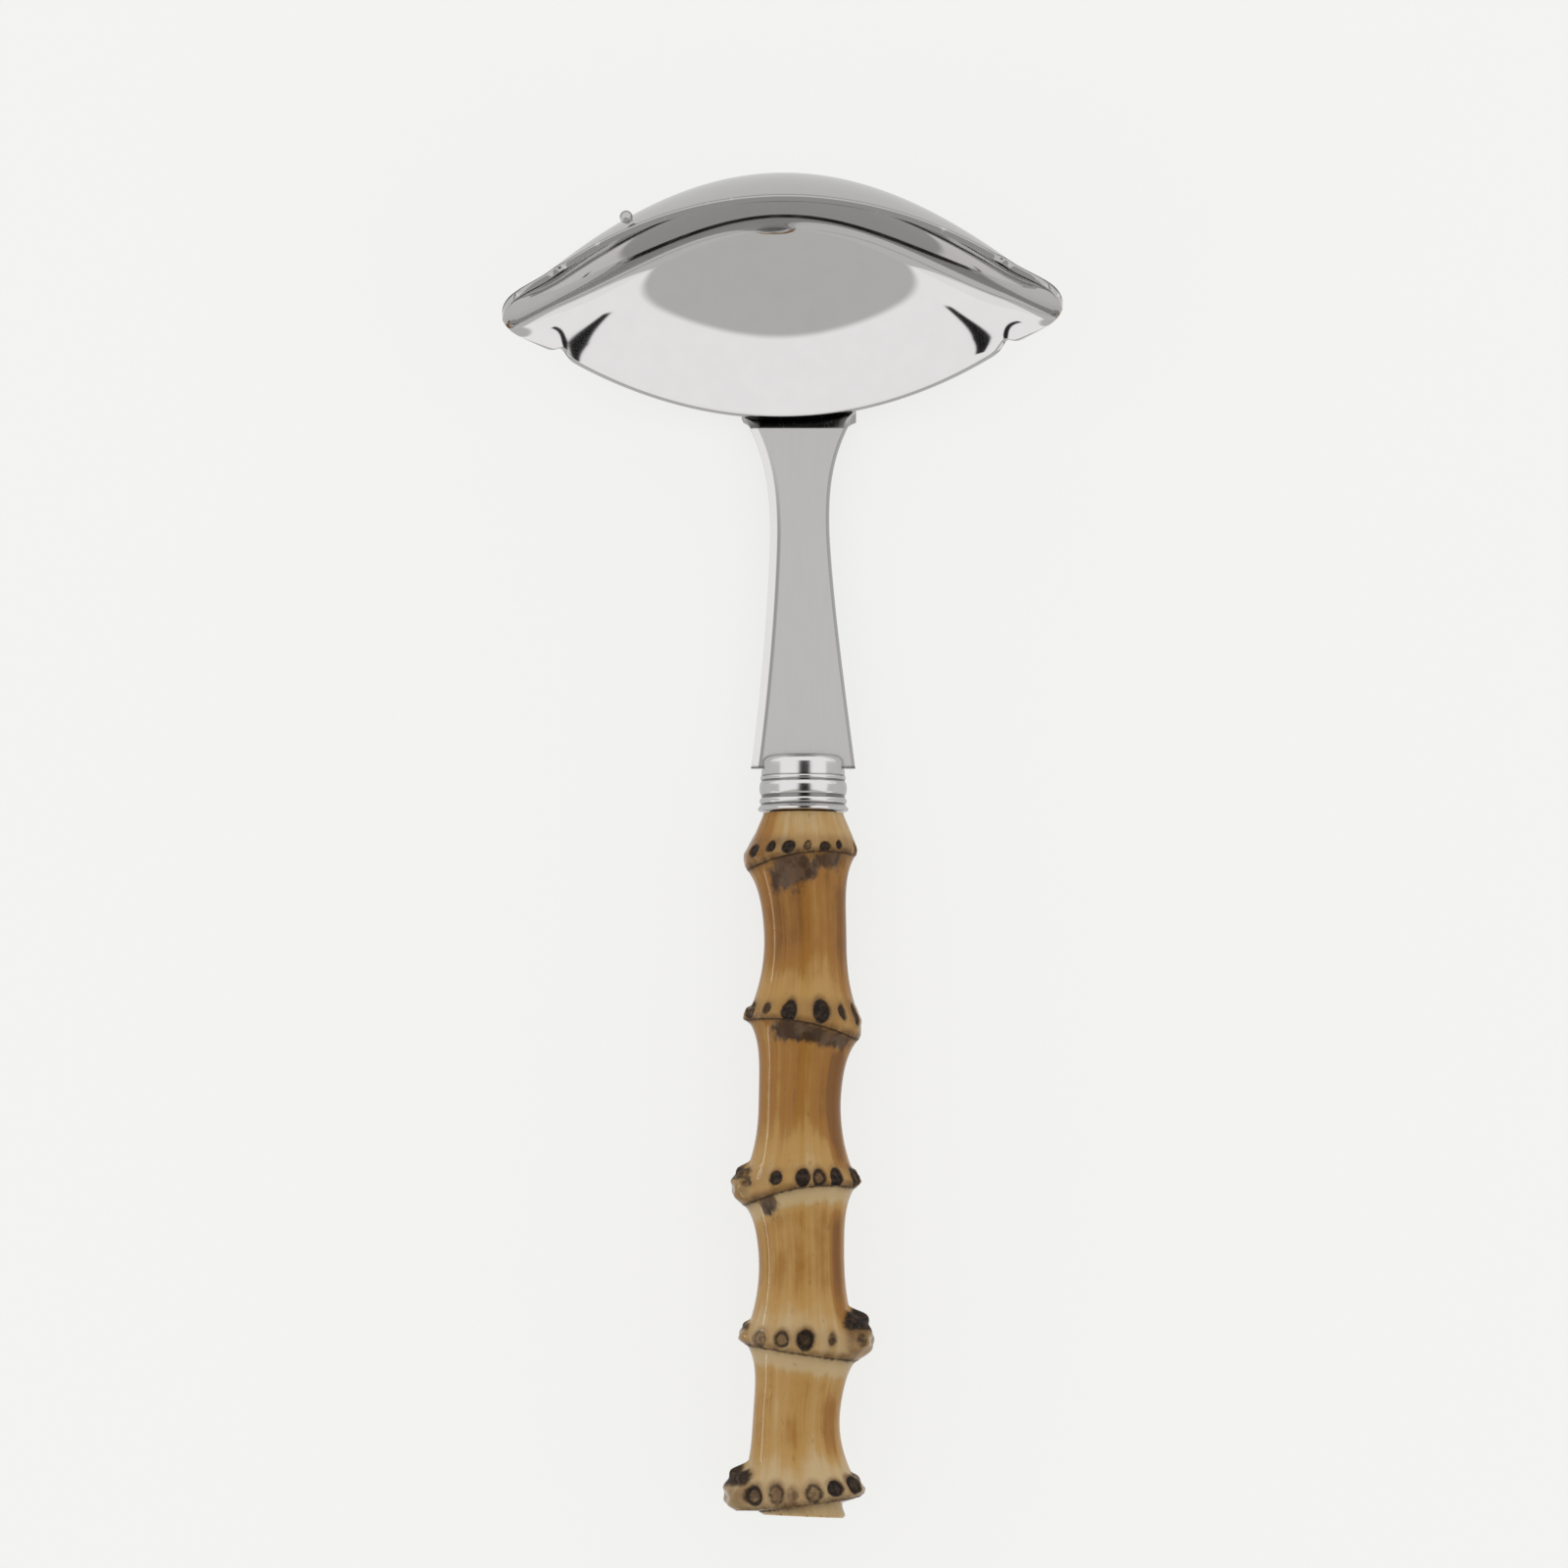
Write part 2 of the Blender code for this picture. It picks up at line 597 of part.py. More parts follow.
def main():
    clear_scene()
    ladle = add_empty("ladle")
    seat = add_empty("bowl_seat", ladle)
    seat.matrix_basis = BOWL_SEAT
    make_bowl(seat, make_material("polished_bowl_steel", (0.66, 0.65, 0.65), 0.08, 1.0))
    make_neck(ladle, make_material("polished_neck_steel", (0.62, 0.61, 0.61), 0.14, 1.0))
    make_ferrule(ladle, make_material("turned_ferrule_steel", (0.60, 0.59, 0.58), 0.20, 1.0))
    make_handle(ladle, make_material("lacquered_bamboo", (0.48, 0.31, 0.13), 0.25, 0.0))
    make_resin(ladle, make_material("amber_resin", (0.42, 0.30, 0.16), 0.45, 0.0))
    make_stud(seat, make_material("bright_stud_steel", (0.66, 0.65, 0.65), 0.08, 1.0))
    lay_on_back(ladle)


main()
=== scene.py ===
"""The looks of a gravy ladle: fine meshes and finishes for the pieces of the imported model, on a pale table
in soft studio light, seen from straight above.

Pieces are drawn in the ladle's own frame: y = 0 is the joint of ferrule and bamboo on the handle's axis,
+Y runs to the bowl, +X is to the right and z = 0 is the middle of the neck's thickness.
"""

import json
import math
from collections import namedtuple

import bpy
import numpy as np
from mathutils import Matrix, Vector


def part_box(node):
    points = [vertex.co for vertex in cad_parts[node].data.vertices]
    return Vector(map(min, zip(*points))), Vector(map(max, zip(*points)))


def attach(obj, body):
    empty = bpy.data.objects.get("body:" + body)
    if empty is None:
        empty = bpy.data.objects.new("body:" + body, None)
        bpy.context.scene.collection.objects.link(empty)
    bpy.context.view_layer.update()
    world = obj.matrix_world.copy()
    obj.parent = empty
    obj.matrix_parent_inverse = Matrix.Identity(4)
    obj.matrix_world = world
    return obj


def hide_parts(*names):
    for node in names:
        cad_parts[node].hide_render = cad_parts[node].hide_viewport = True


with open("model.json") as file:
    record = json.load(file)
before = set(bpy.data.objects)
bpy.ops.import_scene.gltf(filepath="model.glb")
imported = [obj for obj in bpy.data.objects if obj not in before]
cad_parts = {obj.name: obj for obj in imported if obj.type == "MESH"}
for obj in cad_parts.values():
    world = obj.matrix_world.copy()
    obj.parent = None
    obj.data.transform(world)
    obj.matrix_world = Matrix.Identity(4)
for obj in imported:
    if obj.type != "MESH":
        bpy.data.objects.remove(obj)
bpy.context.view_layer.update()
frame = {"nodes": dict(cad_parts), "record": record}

MM = 0.001
FIT_GAP = 0.3 * MM
SHARP_EDGE = math.radians(25)

# The resin is a straight plug on the handle's axis, so its two ends say where the ladle's frame lies
RESIN_TOP = 3.5 * MM
RESIN_BOTTOM = -46.8 * MM

# Camera: straight above, the photograph's frame at the height of the handle's axis
CAMERA_PLACE = (0.26 * MM, 9.58 * MM, 1500 * MM)
FRAME_HEIGHT = 9.3 * MM
FRAME_WIDTH = 232.7 * MM
SENSOR_WIDTH = 36.0
CAMERA_RANGE = 20.0

# Bowl
BOWL_HALF_LENGTH = 41.25 * MM
BOWL_HALF_WIDTH = 25.1 * MM
BOWL_DEPTH = 18.4 * MM
SECTION_ARC = math.radians(64)  # from the keel to either rim
PLAN_POINT = 0.91
KEEL_POINT = 1.3
SHEET = 1.1 * MM
BOWL_TILT = math.radians(55.5)
BOWL_YAW = math.radians(1.7)
BOWL_SHIFT = -3.1 * MM
NEAR_RIM_REACH = 58.65 * MM
LIP_HALF_WIDTH = 7.2 * MM
LIP_ROUND = 8.0 * MM
LIP_BLEND = 3.0 * MM
NOTCH_IN = 8.0 * MM
NOTCH_RUN = 1.0 * MM
NOTCH_CUT = math.radians(7)
RIM_GAP = math.radians(1.2)  # from the last row of the wall to its rounded edge
RIM_ROUND = 0.28 * MM
RIM_ROUND_TIP = 1.5 * MM  # half width of a lip under which its edge is less round
RIM_STEPS = 4
NEAR_EDGE_REFLECTION = 0.15  # how much painted dark reflection the near rim's edge gets, where the far rim's gets 1
TIP_TURN = math.radians(89.4)
BOWL_STATIONS = 330
BOWL_STEPS = 90
NUDGE_TURN = math.radians(0.02)

# Neck
NECK_THICKNESS = 2.2 * MM
SHOULDER_HALF_WIDTH = 7.75 * MM
WAIST_HALF_WIDTH = 4.42 * MM
HEAD_HALF_WIDTH = 7.2 * MM
SHOULDER_REACH = 6.4 * MM
WAIST_REACH = 42.0 * MM
BEND_LEAD = 1.6 * MM
BEND_DROP = 2.2 * MM
NECK_LEAN = -0.65 * MM
BEVEL_LEFT = 1.2 * MM
BEVEL_RIGHT = 0.5 * MM
BEVEL_BACK = 0.4 * MM
BEVEL_DROP = 0.7 * MM
SHOULDER_FLARE = 1.4
HEAD_FLARE = 2.6
TONGUE_LENGTH = math.radians(38)
TONGUE_HALF_WIDTH = 8.4 * MM
TONGUE_END_THICKNESS = 1.2 * MM
TONGUE_END_HALF_WIDTH = 2.5 * MM
TANG_WIDTH = 4.0 * MM
TANG_THICKNESS = 1.8 * MM
TANG_DEPTH = 46.0 * MM
EDGE_LINE = 0.5 * MM
BEVEL_SHARE = 0.15  # how far down the left bevel its first point lies
# Painted shade line along the face's left edge: where it ends toward the bowl, and how long it fades
SHADE_LINE_TO = 56.0 * MM
SHADE_LINE_FADE = 18.0 * MM
BEND_STEPS = 8
BEND_FLARE = 2.0
FACE_POINTS = 13
BLADE_SECTIONS = 120
TONGUE_SECTIONS = 40

# Ferrule
SOCKET_RADIUS = 5.0 * MM
FERRULE_RADIUS = 6.2 * MM
FERRULE_HEIGHT = 8.4 * MM
SOCKET_DEPTH = 4.1 * MM
CROWN_ROUND = 1.3 * MM
FLANGE_HEIGHT = 0.6 * MM
FLANGE_PROUD = 0.5 * MM
FLANGE_EDGE = 0.15 * MM
RING_HEIGHT = 0.9 * MM
RING_PROUD = 0.28 * MM
BEAD_HEIGHT = 2.0 * MM
BEAD_PROUD = 0.3 * MM
FINE_BEAD_HEIGHT = 0.6 * MM
FINE_BEAD_PROUD = 0.14 * MM
GROOVE = 0.45 * MM
GROOVE_DARK_RUN = 0.06 * MM
FERRULE_SIDES = 160
BULGE_STEPS = 12

# Handle
TENON_RADIUS = 4.7 * MM
TENON_TOP = 3.8 * MM
BORE_RADIUS = 3.4 * MM
BORE_BOTTOM = -47.1 * MM
TOP_RADIUS = 6.0 * MM
RIDGE_STEP = 0.45 * MM
BUTT_LENGTH = 2.0 * MM
BUTT_RADIUS = 6.3 * MM
BUTT_SLANT = math.radians(2.5)
BUTT_EDGE = 0.4 * MM
BUTT_SWEEP = 0.35
BUTT_ROWS = 16
BUTT_RINGS = (1.0, 0.75, 0.5, 0.25)  # rings of points on the cut, as shares of it
NARROWING = 0.12
STEM_SIDES = 232
ROW_SHARES = ((0, 0.04, 9), (0.05, 0.15, 8), (0.18, 0.62, 14), (0.64, 0.9, 26), (0.905, 1, 24))
TOP_ROWS = 46

UNEVEN = 0.07 * MM
UNEVEN_WAVES = (14.0 * MM, 9.0 * MM)
BACK_REST = 0.25  # how far round from its lowest line the stem has no raised marks
GRAIN_RADIUS = 6.0 * MM
TINT_TOP_RUN = 2.9 * MM
TINT_LOW_FROM = 0.5
TINT_LOW_RUN = 0.35
STRIPE_FADE = 0.15

# Ridges: the rounded rope, the burnt line on it and a dark line under it, and the brown beside them
RIDGE_ROUND = 0.4 * MM
RIDGE_ROUND_RUN = 0.5 * MM
RIDGE_ROPE = 0.06 * MM
ROPE_STRANDS = 61
ROPE_WANDER = 3
ROPE_WAVES = 7
RIDGE_LINE = 0.36 * MM
RIDGE_BURN = 0.36
RIDGE_BROWN_RUN = 3 * RIDGE_LINE
UNDER_DARK = 0.62
UNDER_FRINGE = 0.25
FRINGE_WAVES = (31, 17)
UNDER_BROWN = 0.6
UNDER_BROWN_RUN = 2 * RIDGE_LINE
ROW_HALF = 1.9 * MM

# Waves on an outline or a surface: size, waves one way and the other, and phase
SCAR_WAVES = ((0.04, 2, 1, 0), (0.03, 3, 3, 0))
STUB_EDGE_WAVES = ((0.12, 4, 0, 1), (0.08, 9, 2, 0))
STUB_LUMPS = ((0.08, 5, 4, 0), (0.07, -4, 9, 1))

# Root scars: what isn't in millimetres is a share of a scar's half width, or of how dark it is
SCAR_GROWTH = 0.15
SCAR_LIP = 0.2 * MM
SCAR_LIP_RUN = 0.2
SCAR_SINK = 0.25 * MM
CORE_TO = 0.7
CORE_SOFT = 0.45
FAINT_SHRINK = 0.4  # how much smaller the core of a faint scar is
FAINT_SOFT = 0.6  # how much softer its edge is
RING_AT = 0.3
RING_RUN = 0.45
RING_PALE = 0.22  # how much paler the core round a brown middle is
SURROUND_FROM = 0.8
SURROUND_RUN = 0.8

# Scars on the hidden side: bearings and how far they stray, width, length for a width of 1, height above the
# row, how dark, and how brown in the middle. Lengths are in millimetres.
SCAR_SEED = 7
HIDDEN_BEARINGS = range(190, 350, 26)
HIDDEN_STRAY = (-6, 6)
HIDDEN_ACROSS = (1.7, 2.7)
HIDDEN_ALONG = (1.0, 1.35)
HIDDEN_UP = (-0.3, 0.4)
HIDDEN_TONE = (0.6, 1.0)
HIDDEN_RING = 0.3

# Root stubs, as shares of the half length: the run of the upper edge, how far below the middle the foot and the
# dark top start, and their runs. Then how brown a stub is, and how steeply dark and brown come in as it rises.
STUB_EDGE = 0.45
STUB_FOOT = 1.3
STUB_SLOPE = 0.9
STUB_TOP = 0.1
STUB_TOP_RUN = 0.4
STUB_BROWN = 0.95
STUB_BURN_STEEP = 2.0
STUB_BROWN_STEEP = 2.5

# Stretches of stem between nodes: length, radius of the waist, shares of the length where it starts and stops
# swelling and how late it does so, sway of the waist to the right, and tint at the top, in the middle and low
# down, from 0 for brown to 1 for pale
Stretch = namedtuple("Stretch", "length waist swell_from swell_to swell_power sway top middle low")
STRETCHES = (
    Stretch(7.1 * MM, 6.0 * MM, 0.08, 0.90, 1.0, 0.0 * MM, 0.84, 0.82, 0.78),
    Stretch(24.9 * MM, 6.1 * MM, 0.43, 0.96, 2.5, 0.3 * MM, 0.45, 0.24, 0.60),
    Stretch(24.6 * MM, 6.0 * MM, 0.40, 0.93, 2.5, -0.5 * MM, 0.40, 0.36, 0.74),
    Stretch(23.8 * MM, 6.3 * MM, 0.36, 0.89, 2.5, -0.2 * MM, 1.06, 0.52, 0.88),
    Stretch(22.3 * MM, 6.35 * MM, 0.36, 0.89, 2.5, -1.1 * MM, 1.12, 0.62, 0.98),
)
BUTT_TINT = 0.95

# Nodes: radius at the ridge, how much lower the ridge lies at its left end and at both sides, sway, height
# of the row of root scars above the node, and how brown that row is
Node = namedtuple("Node", "radius lean fold sway row brown")
NODES = (
    Node(8.5 * MM, 1.1 * MM, -0.6 * MM, -0.3 * MM, 1.4 * MM, 0.60),
    Node(8.6 * MM, -1.5 * MM, -0.5 * MM, 0.0 * MM, 2.0 * MM, 0.40),
    Node(8.6 * MM, 1.3 * MM, -0.6 * MM, -0.5 * MM, 1.9 * MM, 0.25),
    Node(8.5 * MM, -1.2 * MM, 0.1 * MM, -0.3 * MM, 2.0 * MM, 0.25),
    Node(8.9 * MM, 1.0 * MM, 0.1 * MM, -0.5 * MM, 1.5 * MM, 0.25),
)

# Root stubs that stand out beside a node: the node, bearing in degrees, height above it, how far it stands
# out, half its angle in degrees, half its length, and how dark its top is. Lengths are in millimetres.
Stub = namedtuple("Stub", "node bearing above height half_angle half_length dark")
STUBS = (
    Stub(1, 178, 1.8, 0.6, 18, 1.3, 0.6),
    Stub(2, 176, 1.4, 1.4, 26, 3.0, 0.6),
    Stub(2, 8, 2.2, 0.5, 18, 1.5, 0.5),
    Stub(3, 12, 3.0, 2.3, 28, 3.7, 0.85),
    Stub(3, 180, 3.2, 0.8, 20, 1.8, 0.55),
    Stub(4, 174, 2.3, 2.2, 30, 3.8, 0.7),
    Stub(4, 12, 2.9, 0.8, 22, 1.9, 0.5),
)

# Root scars: node, bearing from the right in degrees, height above the node's row, width and length, how dark
# from 0 to 1, and how brown its middle is. Lengths are in millimetres.
Scar = namedtuple("Scar", "node bearing up across along tone ring")
SCARS = (
    Scar(0, 148, -0.4, 2.4, 1.9, 0.80, 0.0),
    Scar(0, 124, 0.1, 1.6, 1.8, 0.80, 0.0),
    Scar(0, 104, 0.0, 1.9, 1.9, 0.95, 0.0),
    Scar(0, 84, 0.2, 1.4, 1.6, 0.70, 0.3),
    Scar(0, 65, 0.0, 1.9, 1.7, 0.80, 0.1),
    Scar(0, 47, 0.4, 1.3, 1.3, 0.80, 0.0),
    Scar(0, 14, 0.2, 1.6, 1.8, 0.60, 0.0),
    Scar(1, 162, 0.3, 2.4, 2.6, 0.80, 0.3),
    Scar(1, 133, 0.5, 1.7, 1.9, 0.65, 0.0),
    Scar(1, 105, 0.0, 2.4, 3.2, 0.95, 0.15),
    Scar(1, 71, 0.0, 2.6, 3.3, 1.00, 0.0),
    Scar(1, 45, -0.1, 1.7, 2.4, 0.70, 0.0),
    Scar(1, 21, -0.3, 2.0, 3.2, 0.75, 0.0),
    Scar(2, 150, -0.4, 1.7, 1.7, 0.55, 0.0),
    Scar(2, 115, 0.1, 2.0, 2.2, 0.85, 0.0),
    Scar(2, 87, 0.1, 2.1, 2.8, 0.95, 0.15),
    Scar(2, 70, 0.1, 2.1, 2.6, 0.90, 0.6),
    Scar(2, 50, 0.1, 2.2, 2.9, 1.00, 0.0),
    Scar(2, 19, 0.3, 2.4, 2.8, 0.90, 0.3),
    Scar(3, 137, 0.1, 2.9, 2.6, 0.70, 0.9),
    Scar(3, 110, 0.0, 2.2, 2.6, 0.85, 0.8),
    Scar(3, 86, -0.1, 2.5, 3.2, 0.95, 0.3),
    Scar(3, 57, 0.0, 1.5, 2.2, 0.60, 0.0),
    Scar(3, 30, 0.0, 1.7, 2.2, 0.55, 0.0),
    Scar(4, 137, -0.2, 2.7, 2.9, 0.90, 0.5),
    Scar(4, 113, 0.0, 2.5, 3.3, 0.75, 0.8),
    Scar(4, 96, -0.2, 1.8, 2.8, 0.50, 0.9),
    Scar(4, 76, 0.1, 2.7, 3.2, 0.75, 0.6),
    Scar(4, 53, 0.9, 2.7, 2.3, 1.00, 0.2),
    Scar(4, 28, 1.4, 2.6, 2.4, 1.00, 0.3),
)

# Stripes along a stretch: bearing and half angle in degrees, share of the length where it starts and stops,
# and how much browner it is, less than 0 if paler. The browner ones on the right, at bearings 30 to 40, are
# painted shade down that flank; the others are the cane's own stripes.
Stripe = namedtuple("Stripe", "stretch bearing half_angle start stop depth")
STRIPES_AND_SHADE = (
    Stripe(0, 150, 26, -0.2, 1.0, 0.40),
    Stripe(1, 122, 22, 0.15, 0.75, 0.10),
    Stripe(1, 94, 5, 0.10, 0.80, 0.18),
    Stripe(1, 65, 14, 0.10, 0.90, -0.18),
    Stripe(1, 30, 16, 0.10, 0.95, 0.12),
    Stripe(2, 97, 4, 0.10, 0.70, 0.18),
    Stripe(2, 60, 10, 0.20, 0.75, 0.10),
    Stripe(2, 33, 17, 0.05, 0.95, 0.62),
    Stripe(3, 140, 25, 0.10, 0.90, 0.04),
    Stripe(3, 118, 10, 0.15, 0.45, -0.15),
    Stripe(3, 95, 8, 0.30, 0.80, 0.10),
    Stripe(3, 36, 14, 0.10, 0.90, 0.44),
    Stripe(4, 150, 12, 0.20, 0.80, 0.06),
    Stripe(4, 118, 12, 0.10, 0.60, -0.08),
    Stripe(4, 98, 9, 0.35, 0.85, 0.12),
    Stripe(4, 40, 13, 0.20, 0.80, 0.32),
)

# Dark stains below a ridge: stretch, bearing and half angle in degrees, depth below the ridge, half length,
# and how dark. Lengths are in millimetres.
Stain = namedtuple("Stain", "stretch bearing half_angle below half_length dark")
STAINS = (
    Stain(1, 103, 25, 2.4, 2.5, 1.00),
    Stain(1, 62, 30, 1.3, 1.6, 0.62),
    Stain(2, 92, 33, 1.5, 1.6, 1.00),
    Stain(2, 45, 25, 1.2, 1.2, 0.75),
    Stain(3, 130, 11, 1.2, 1.7, 0.85),
)

# Stud
STUD_RADIUS = 0.95 * MM
STUD_FOOT_RADIUS = 0.6 * MM
STUD_FOOT_HEIGHT = 0.2 * MM
STUD_ALONG = -21.6 * MM
STUD_BELOW_RIM = math.radians(3.6)
STUD_SIDES = 48
STUD_RINGS = 28
STUD_CAP = math.radians(176)

# Sizes that follow
NECK_TOP = NECK_THICKNESS / 2
BEND_REACH = NEAR_RIM_REACH - BEND_LEAD
NODE_DEPTHS = [sum(stretch.length for stretch in STRETCHES[:i + 1]) for i in range(len(STRETCHES))]
HANDLE_LENGTH = NODE_DEPTHS[-1] + BUTT_LENGTH
NEAR_RIM_HEIGHT = NECK_TOP - BEND_DROP


def ladle_place():
    """Where the ladle's frame lies: its pitch from the neck's flat back, its place from the resin."""
    mounts = {mount["name"]: mount for mount in frame["record"]["mounts"]}
    _, down_y, down_z = mounts["neck_back"]["axis"]
    pitch = math.atan2(down_y, -down_z)
    low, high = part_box("tang_resin")
    to_middle = Matrix.Translation((0, (RESIN_TOP + RESIN_BOTTOM) / 2, 0))
    return Matrix.Translation((low + high) / 2) @ Matrix.Rotation(pitch, 4, "X") @ to_middle.inverted()


LADLE = ladle_place()
BOWL_SEAT = (
    Matrix.Translation((
        BOWL_SHIFT,
        NEAR_RIM_REACH + BOWL_HALF_WIDTH * math.cos(BOWL_TILT),
        NEAR_RIM_HEIGHT + BOWL_HALF_WIDTH * math.sin(BOWL_TILT),
    ))
    @ Matrix.Rotation(BOWL_TILT, 4, "X")
    @ Matrix.Rotation(BOWL_YAW, 4, "Z")
)


# Meshes

def smooth_step(value):
    value = np.clip(value, 0.0, 1.0)
    return value * value * (3 - 2 * value)


def bell(value):
    return np.exp(-value ** 2)


def unit(vectors):
    return vectors / np.linalg.norm(vectors, axis=-1, keepdims=True)


def placed(points, matrix):
    """Points moved by a 4 by 4 matrix."""
    matrix = np.array(matrix)
    return points @ matrix[:3, :3].T + matrix[:3, 3]


def tube_faces(ring_count, sides):
    """Quads between rings that follow each other, and a cap on the first and the last ring."""
    start = np.arange(ring_count - 1)[:, None] * sides
    here = start + np.arange(sides)
    following = start + (np.arange(sides) + 1) % sides
    quads = np.stack((here, following, following + sides, here + sides), axis=-1)
    first = list(range(sides))
    last = list(range((ring_count - 1) * sides, ring_count * sides))
    return quads.reshape(-1, 4).tolist() + [first[::-1], last]


def add_mesh(name, points, faces):
    mesh = bpy.data.meshes.new(name)
    mesh.from_pydata(points.reshape(-1, 3).tolist(), [], faces)
    mesh.validate()
    thing = bpy.data.objects.new(name, mesh)
    bpy.context.scene.collection.objects.link(thing)
    return thing


def paint(thing, name, values):
    """Gives the points of a piece a value each, for its material to read."""
    thing.data.attributes.new(name, "FLOAT", "POINT").data.foreach_set("value", values.ravel())


def face_out(thing):
    """Turns the faces to point out of the closed mesh."""
    mesh = thing.data
    points = np.empty(len(mesh.vertices) * 3)
    mesh.vertices.foreach_get("co", points)
    points = points.reshape(-1, 3)
    mesh.calc_loop_triangles()
    corners = np.empty(len(mesh.loop_triangles) * 3, dtype=int)
    mesh.loop_triangles.foreach_get("vertices", corners)
    a, b, c = (points[corners.reshape(-1, 3)[:, i]] for i in range(3))
    if np.einsum("ij,ij->i", a, np.cross(b, c)).sum() < 0:
        mesh.flip_normals()


def finish_piece(thing, node, material):
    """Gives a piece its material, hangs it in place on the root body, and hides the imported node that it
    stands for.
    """
    face_out(thing)
    thing.data.shade_smooth()
    thing.data.set_sharp_from_angle(angle=SHARP_EDGE)
    thing.data.materials.append(material)
    thing.data.transform(LADLE)
    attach(thing, "root")
    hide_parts(node)


def circle(radius, y, sides):
    """A ring round the handle's axis."""
    angles = np.arange(sides) * math.tau / sides
    return np.stack((radius * np.cos(angles), np.full(sides, y), radius * np.sin(angles)), axis=-1)


# Bowl

def half_width(turn):
    """Half the width of the bowl: an almond, or the round lip where that is wider. Turn runs from minus a right
    angle at the left lip's tip to a right angle at the other."""
    almond = BOWL_HALF_WIDTH * np.cos(turn) ** (2 * PLAN_POINT)
    from_tip = BOWL_HALF_LENGTH * (1 - np.abs(np.sin(turn)))
    nose = np.sqrt(1 - np.clip(1 - from_tip / LIP_ROUND, 0.0, 1.0) ** 2)
    lip = LIP_HALF_WIDTH * nose
    blend = LIP_BLEND * nose
    near = np.maximum(blend - np.abs(almond - lip), 0.0)
    return np.maximum(almond, lip) + near ** 2 / (4 * blend)


def rim_slope(turn):
    """How far along the arc from the keel the rim lies: less in the notch beside each lip."""
    from_tip = BOWL_HALF_LENGTH * (1 - np.abs(np.sin(turn)))
    return SECTION_ARC - NOTCH_CUT * bell((from_tip - NOTCH_IN) / NOTCH_RUN)


def bowl_point(turn, slope):
    """A point of the bowl's outside, by the turn along it and the way along the arc across it, from the near
    rim, where the slope is negative, through 0 at the keel to the far rim."""
    depth = BOWL_DEPTH * np.cos(turn) ** (2 * KEEL_POINT)
    sag = (np.cos(slope) - math.cos(SECTION_ARC)) / (1 - math.cos(SECTION_ARC))
    x = BOWL_HALF_LENGTH * np.sin(turn) + 0 * slope
    return np.stack((x, half_width(turn) * np.sin(slope) / math.sin(SECTION_ARC), -depth * sag), axis=-1)


def outward(turn, slope):
    """The direction square to the bowl's outside."""
    inside = np.clip(slope, NUDGE_TURN - SECTION_ARC, SECTION_ARC - NUDGE_TURN)
    along = bowl_point(turn + NUDGE_TURN, inside) - bowl_point(turn - NUDGE_TURN, inside)
    across = bowl_point(turn, inside + NUDGE_TURN) - bowl_point(turn, inside - NUDGE_TURN)
    return unit(np.cross(across, along))


def rim_edge(turn, side):
    """The rounded edge of the sheet at a rim, from its outside to its inside."""
    slope = side * rim_slope(turn)
    corner = bowl_point(turn, slope)
    out = outward(turn, slope)
    after = bowl_point(turn + NUDGE_TURN, side * rim_slope(turn + NUDGE_TURN))
    along = unit(after - bowl_point(turn - NUDGE_TURN, side * rim_slope(turn - NUDGE_TURN)))
    up = side * np.cross(along, out)
    radius = RIM_ROUND * np.clip(half_width(turn) / RIM_ROUND_TIP, 0.0, 1.0)[:, None]
    points = []
    for sign, depth in ((1, radius), (-1, SHEET - radius)):
        centre = corner - radius * up - depth * out
        for step in range(RIM_STEPS + 1):
            angle = math.pi / 2 * step / RIM_STEPS
            if sign < 0:
                angle = math.pi / 2 - angle
            points.append(centre + radius * (sign * math.cos(angle) * out + math.sin(angle) * up))
    return points


def make_bowl(material):
    turns = np.linspace(-TIP_TURN, TIP_TURN, BOWL_STATIONS)
    grid_slope = (rim_slope(turns) - RIM_GAP)[:, None] * np.linspace(-1, 1, BOWL_STEPS)
    grid_turn = turns[:, None] + 0 * grid_slope
    outside = bowl_point(grid_turn, grid_slope)
    inside = outside - SHEET * outward(grid_turn, grid_slope)
    far = np.stack(rim_edge(turns, 1), axis=1)
    near = np.stack(rim_edge(turns, -1), axis=1)
    rings = np.concatenate((outside, far, inside[:, ::-1], near[:, ::-1]), axis=1)
    rings = placed(rings, BOWL_SEAT)
    # Painted dark reflection on the rim edges: full on the far rim, a little on the near one
    cut = np.zeros(rings.shape[:2])
    cut[:, BOWL_STEPS:BOWL_STEPS + far.shape[1]] = 1.0
    cut[:, -near.shape[1]:] = NEAR_EDGE_REFLECTION
    bowl = add_mesh("ladle_bowl", rings, tube_faces(*rings.shape[:2]))
    paint(bowl, "cut", cut)
    finish_piece(bowl, "bowl", material)


# Neck

def section(centre_x, half, thickness, y, left, right):
    """The neck's cross-section: one point of the left bevel, face, right side, back, left side. Left and right
    are the widths of the face's bevels."""
    top = thickness / 2
    drop = min(BEVEL_DROP, top)
    back = min(BEVEL_BACK, half / 4)
    line = min(EDGE_LINE, half / 4)
    edge = left - half
    face_x = [edge, edge + line / 2, *np.linspace(edge + line, half - right, FACE_POINTS - 2)]
    back_x = np.linspace(half - back, -half + back, FACE_POINTS)
    ring = [(centre_x + edge - BEVEL_SHARE * left, y, top - BEVEL_SHARE * drop)]
    ring += [(centre_x + x, y, top) for x in face_x]
    ring += [(centre_x + half, y, top - drop), (centre_x + half, y, back - top)]
    ring += [(centre_x + x, y, -top) for x in back_x]
    ring += [(centre_x - half, y, back - top), (centre_x - half, y, top - drop)]
    return ring


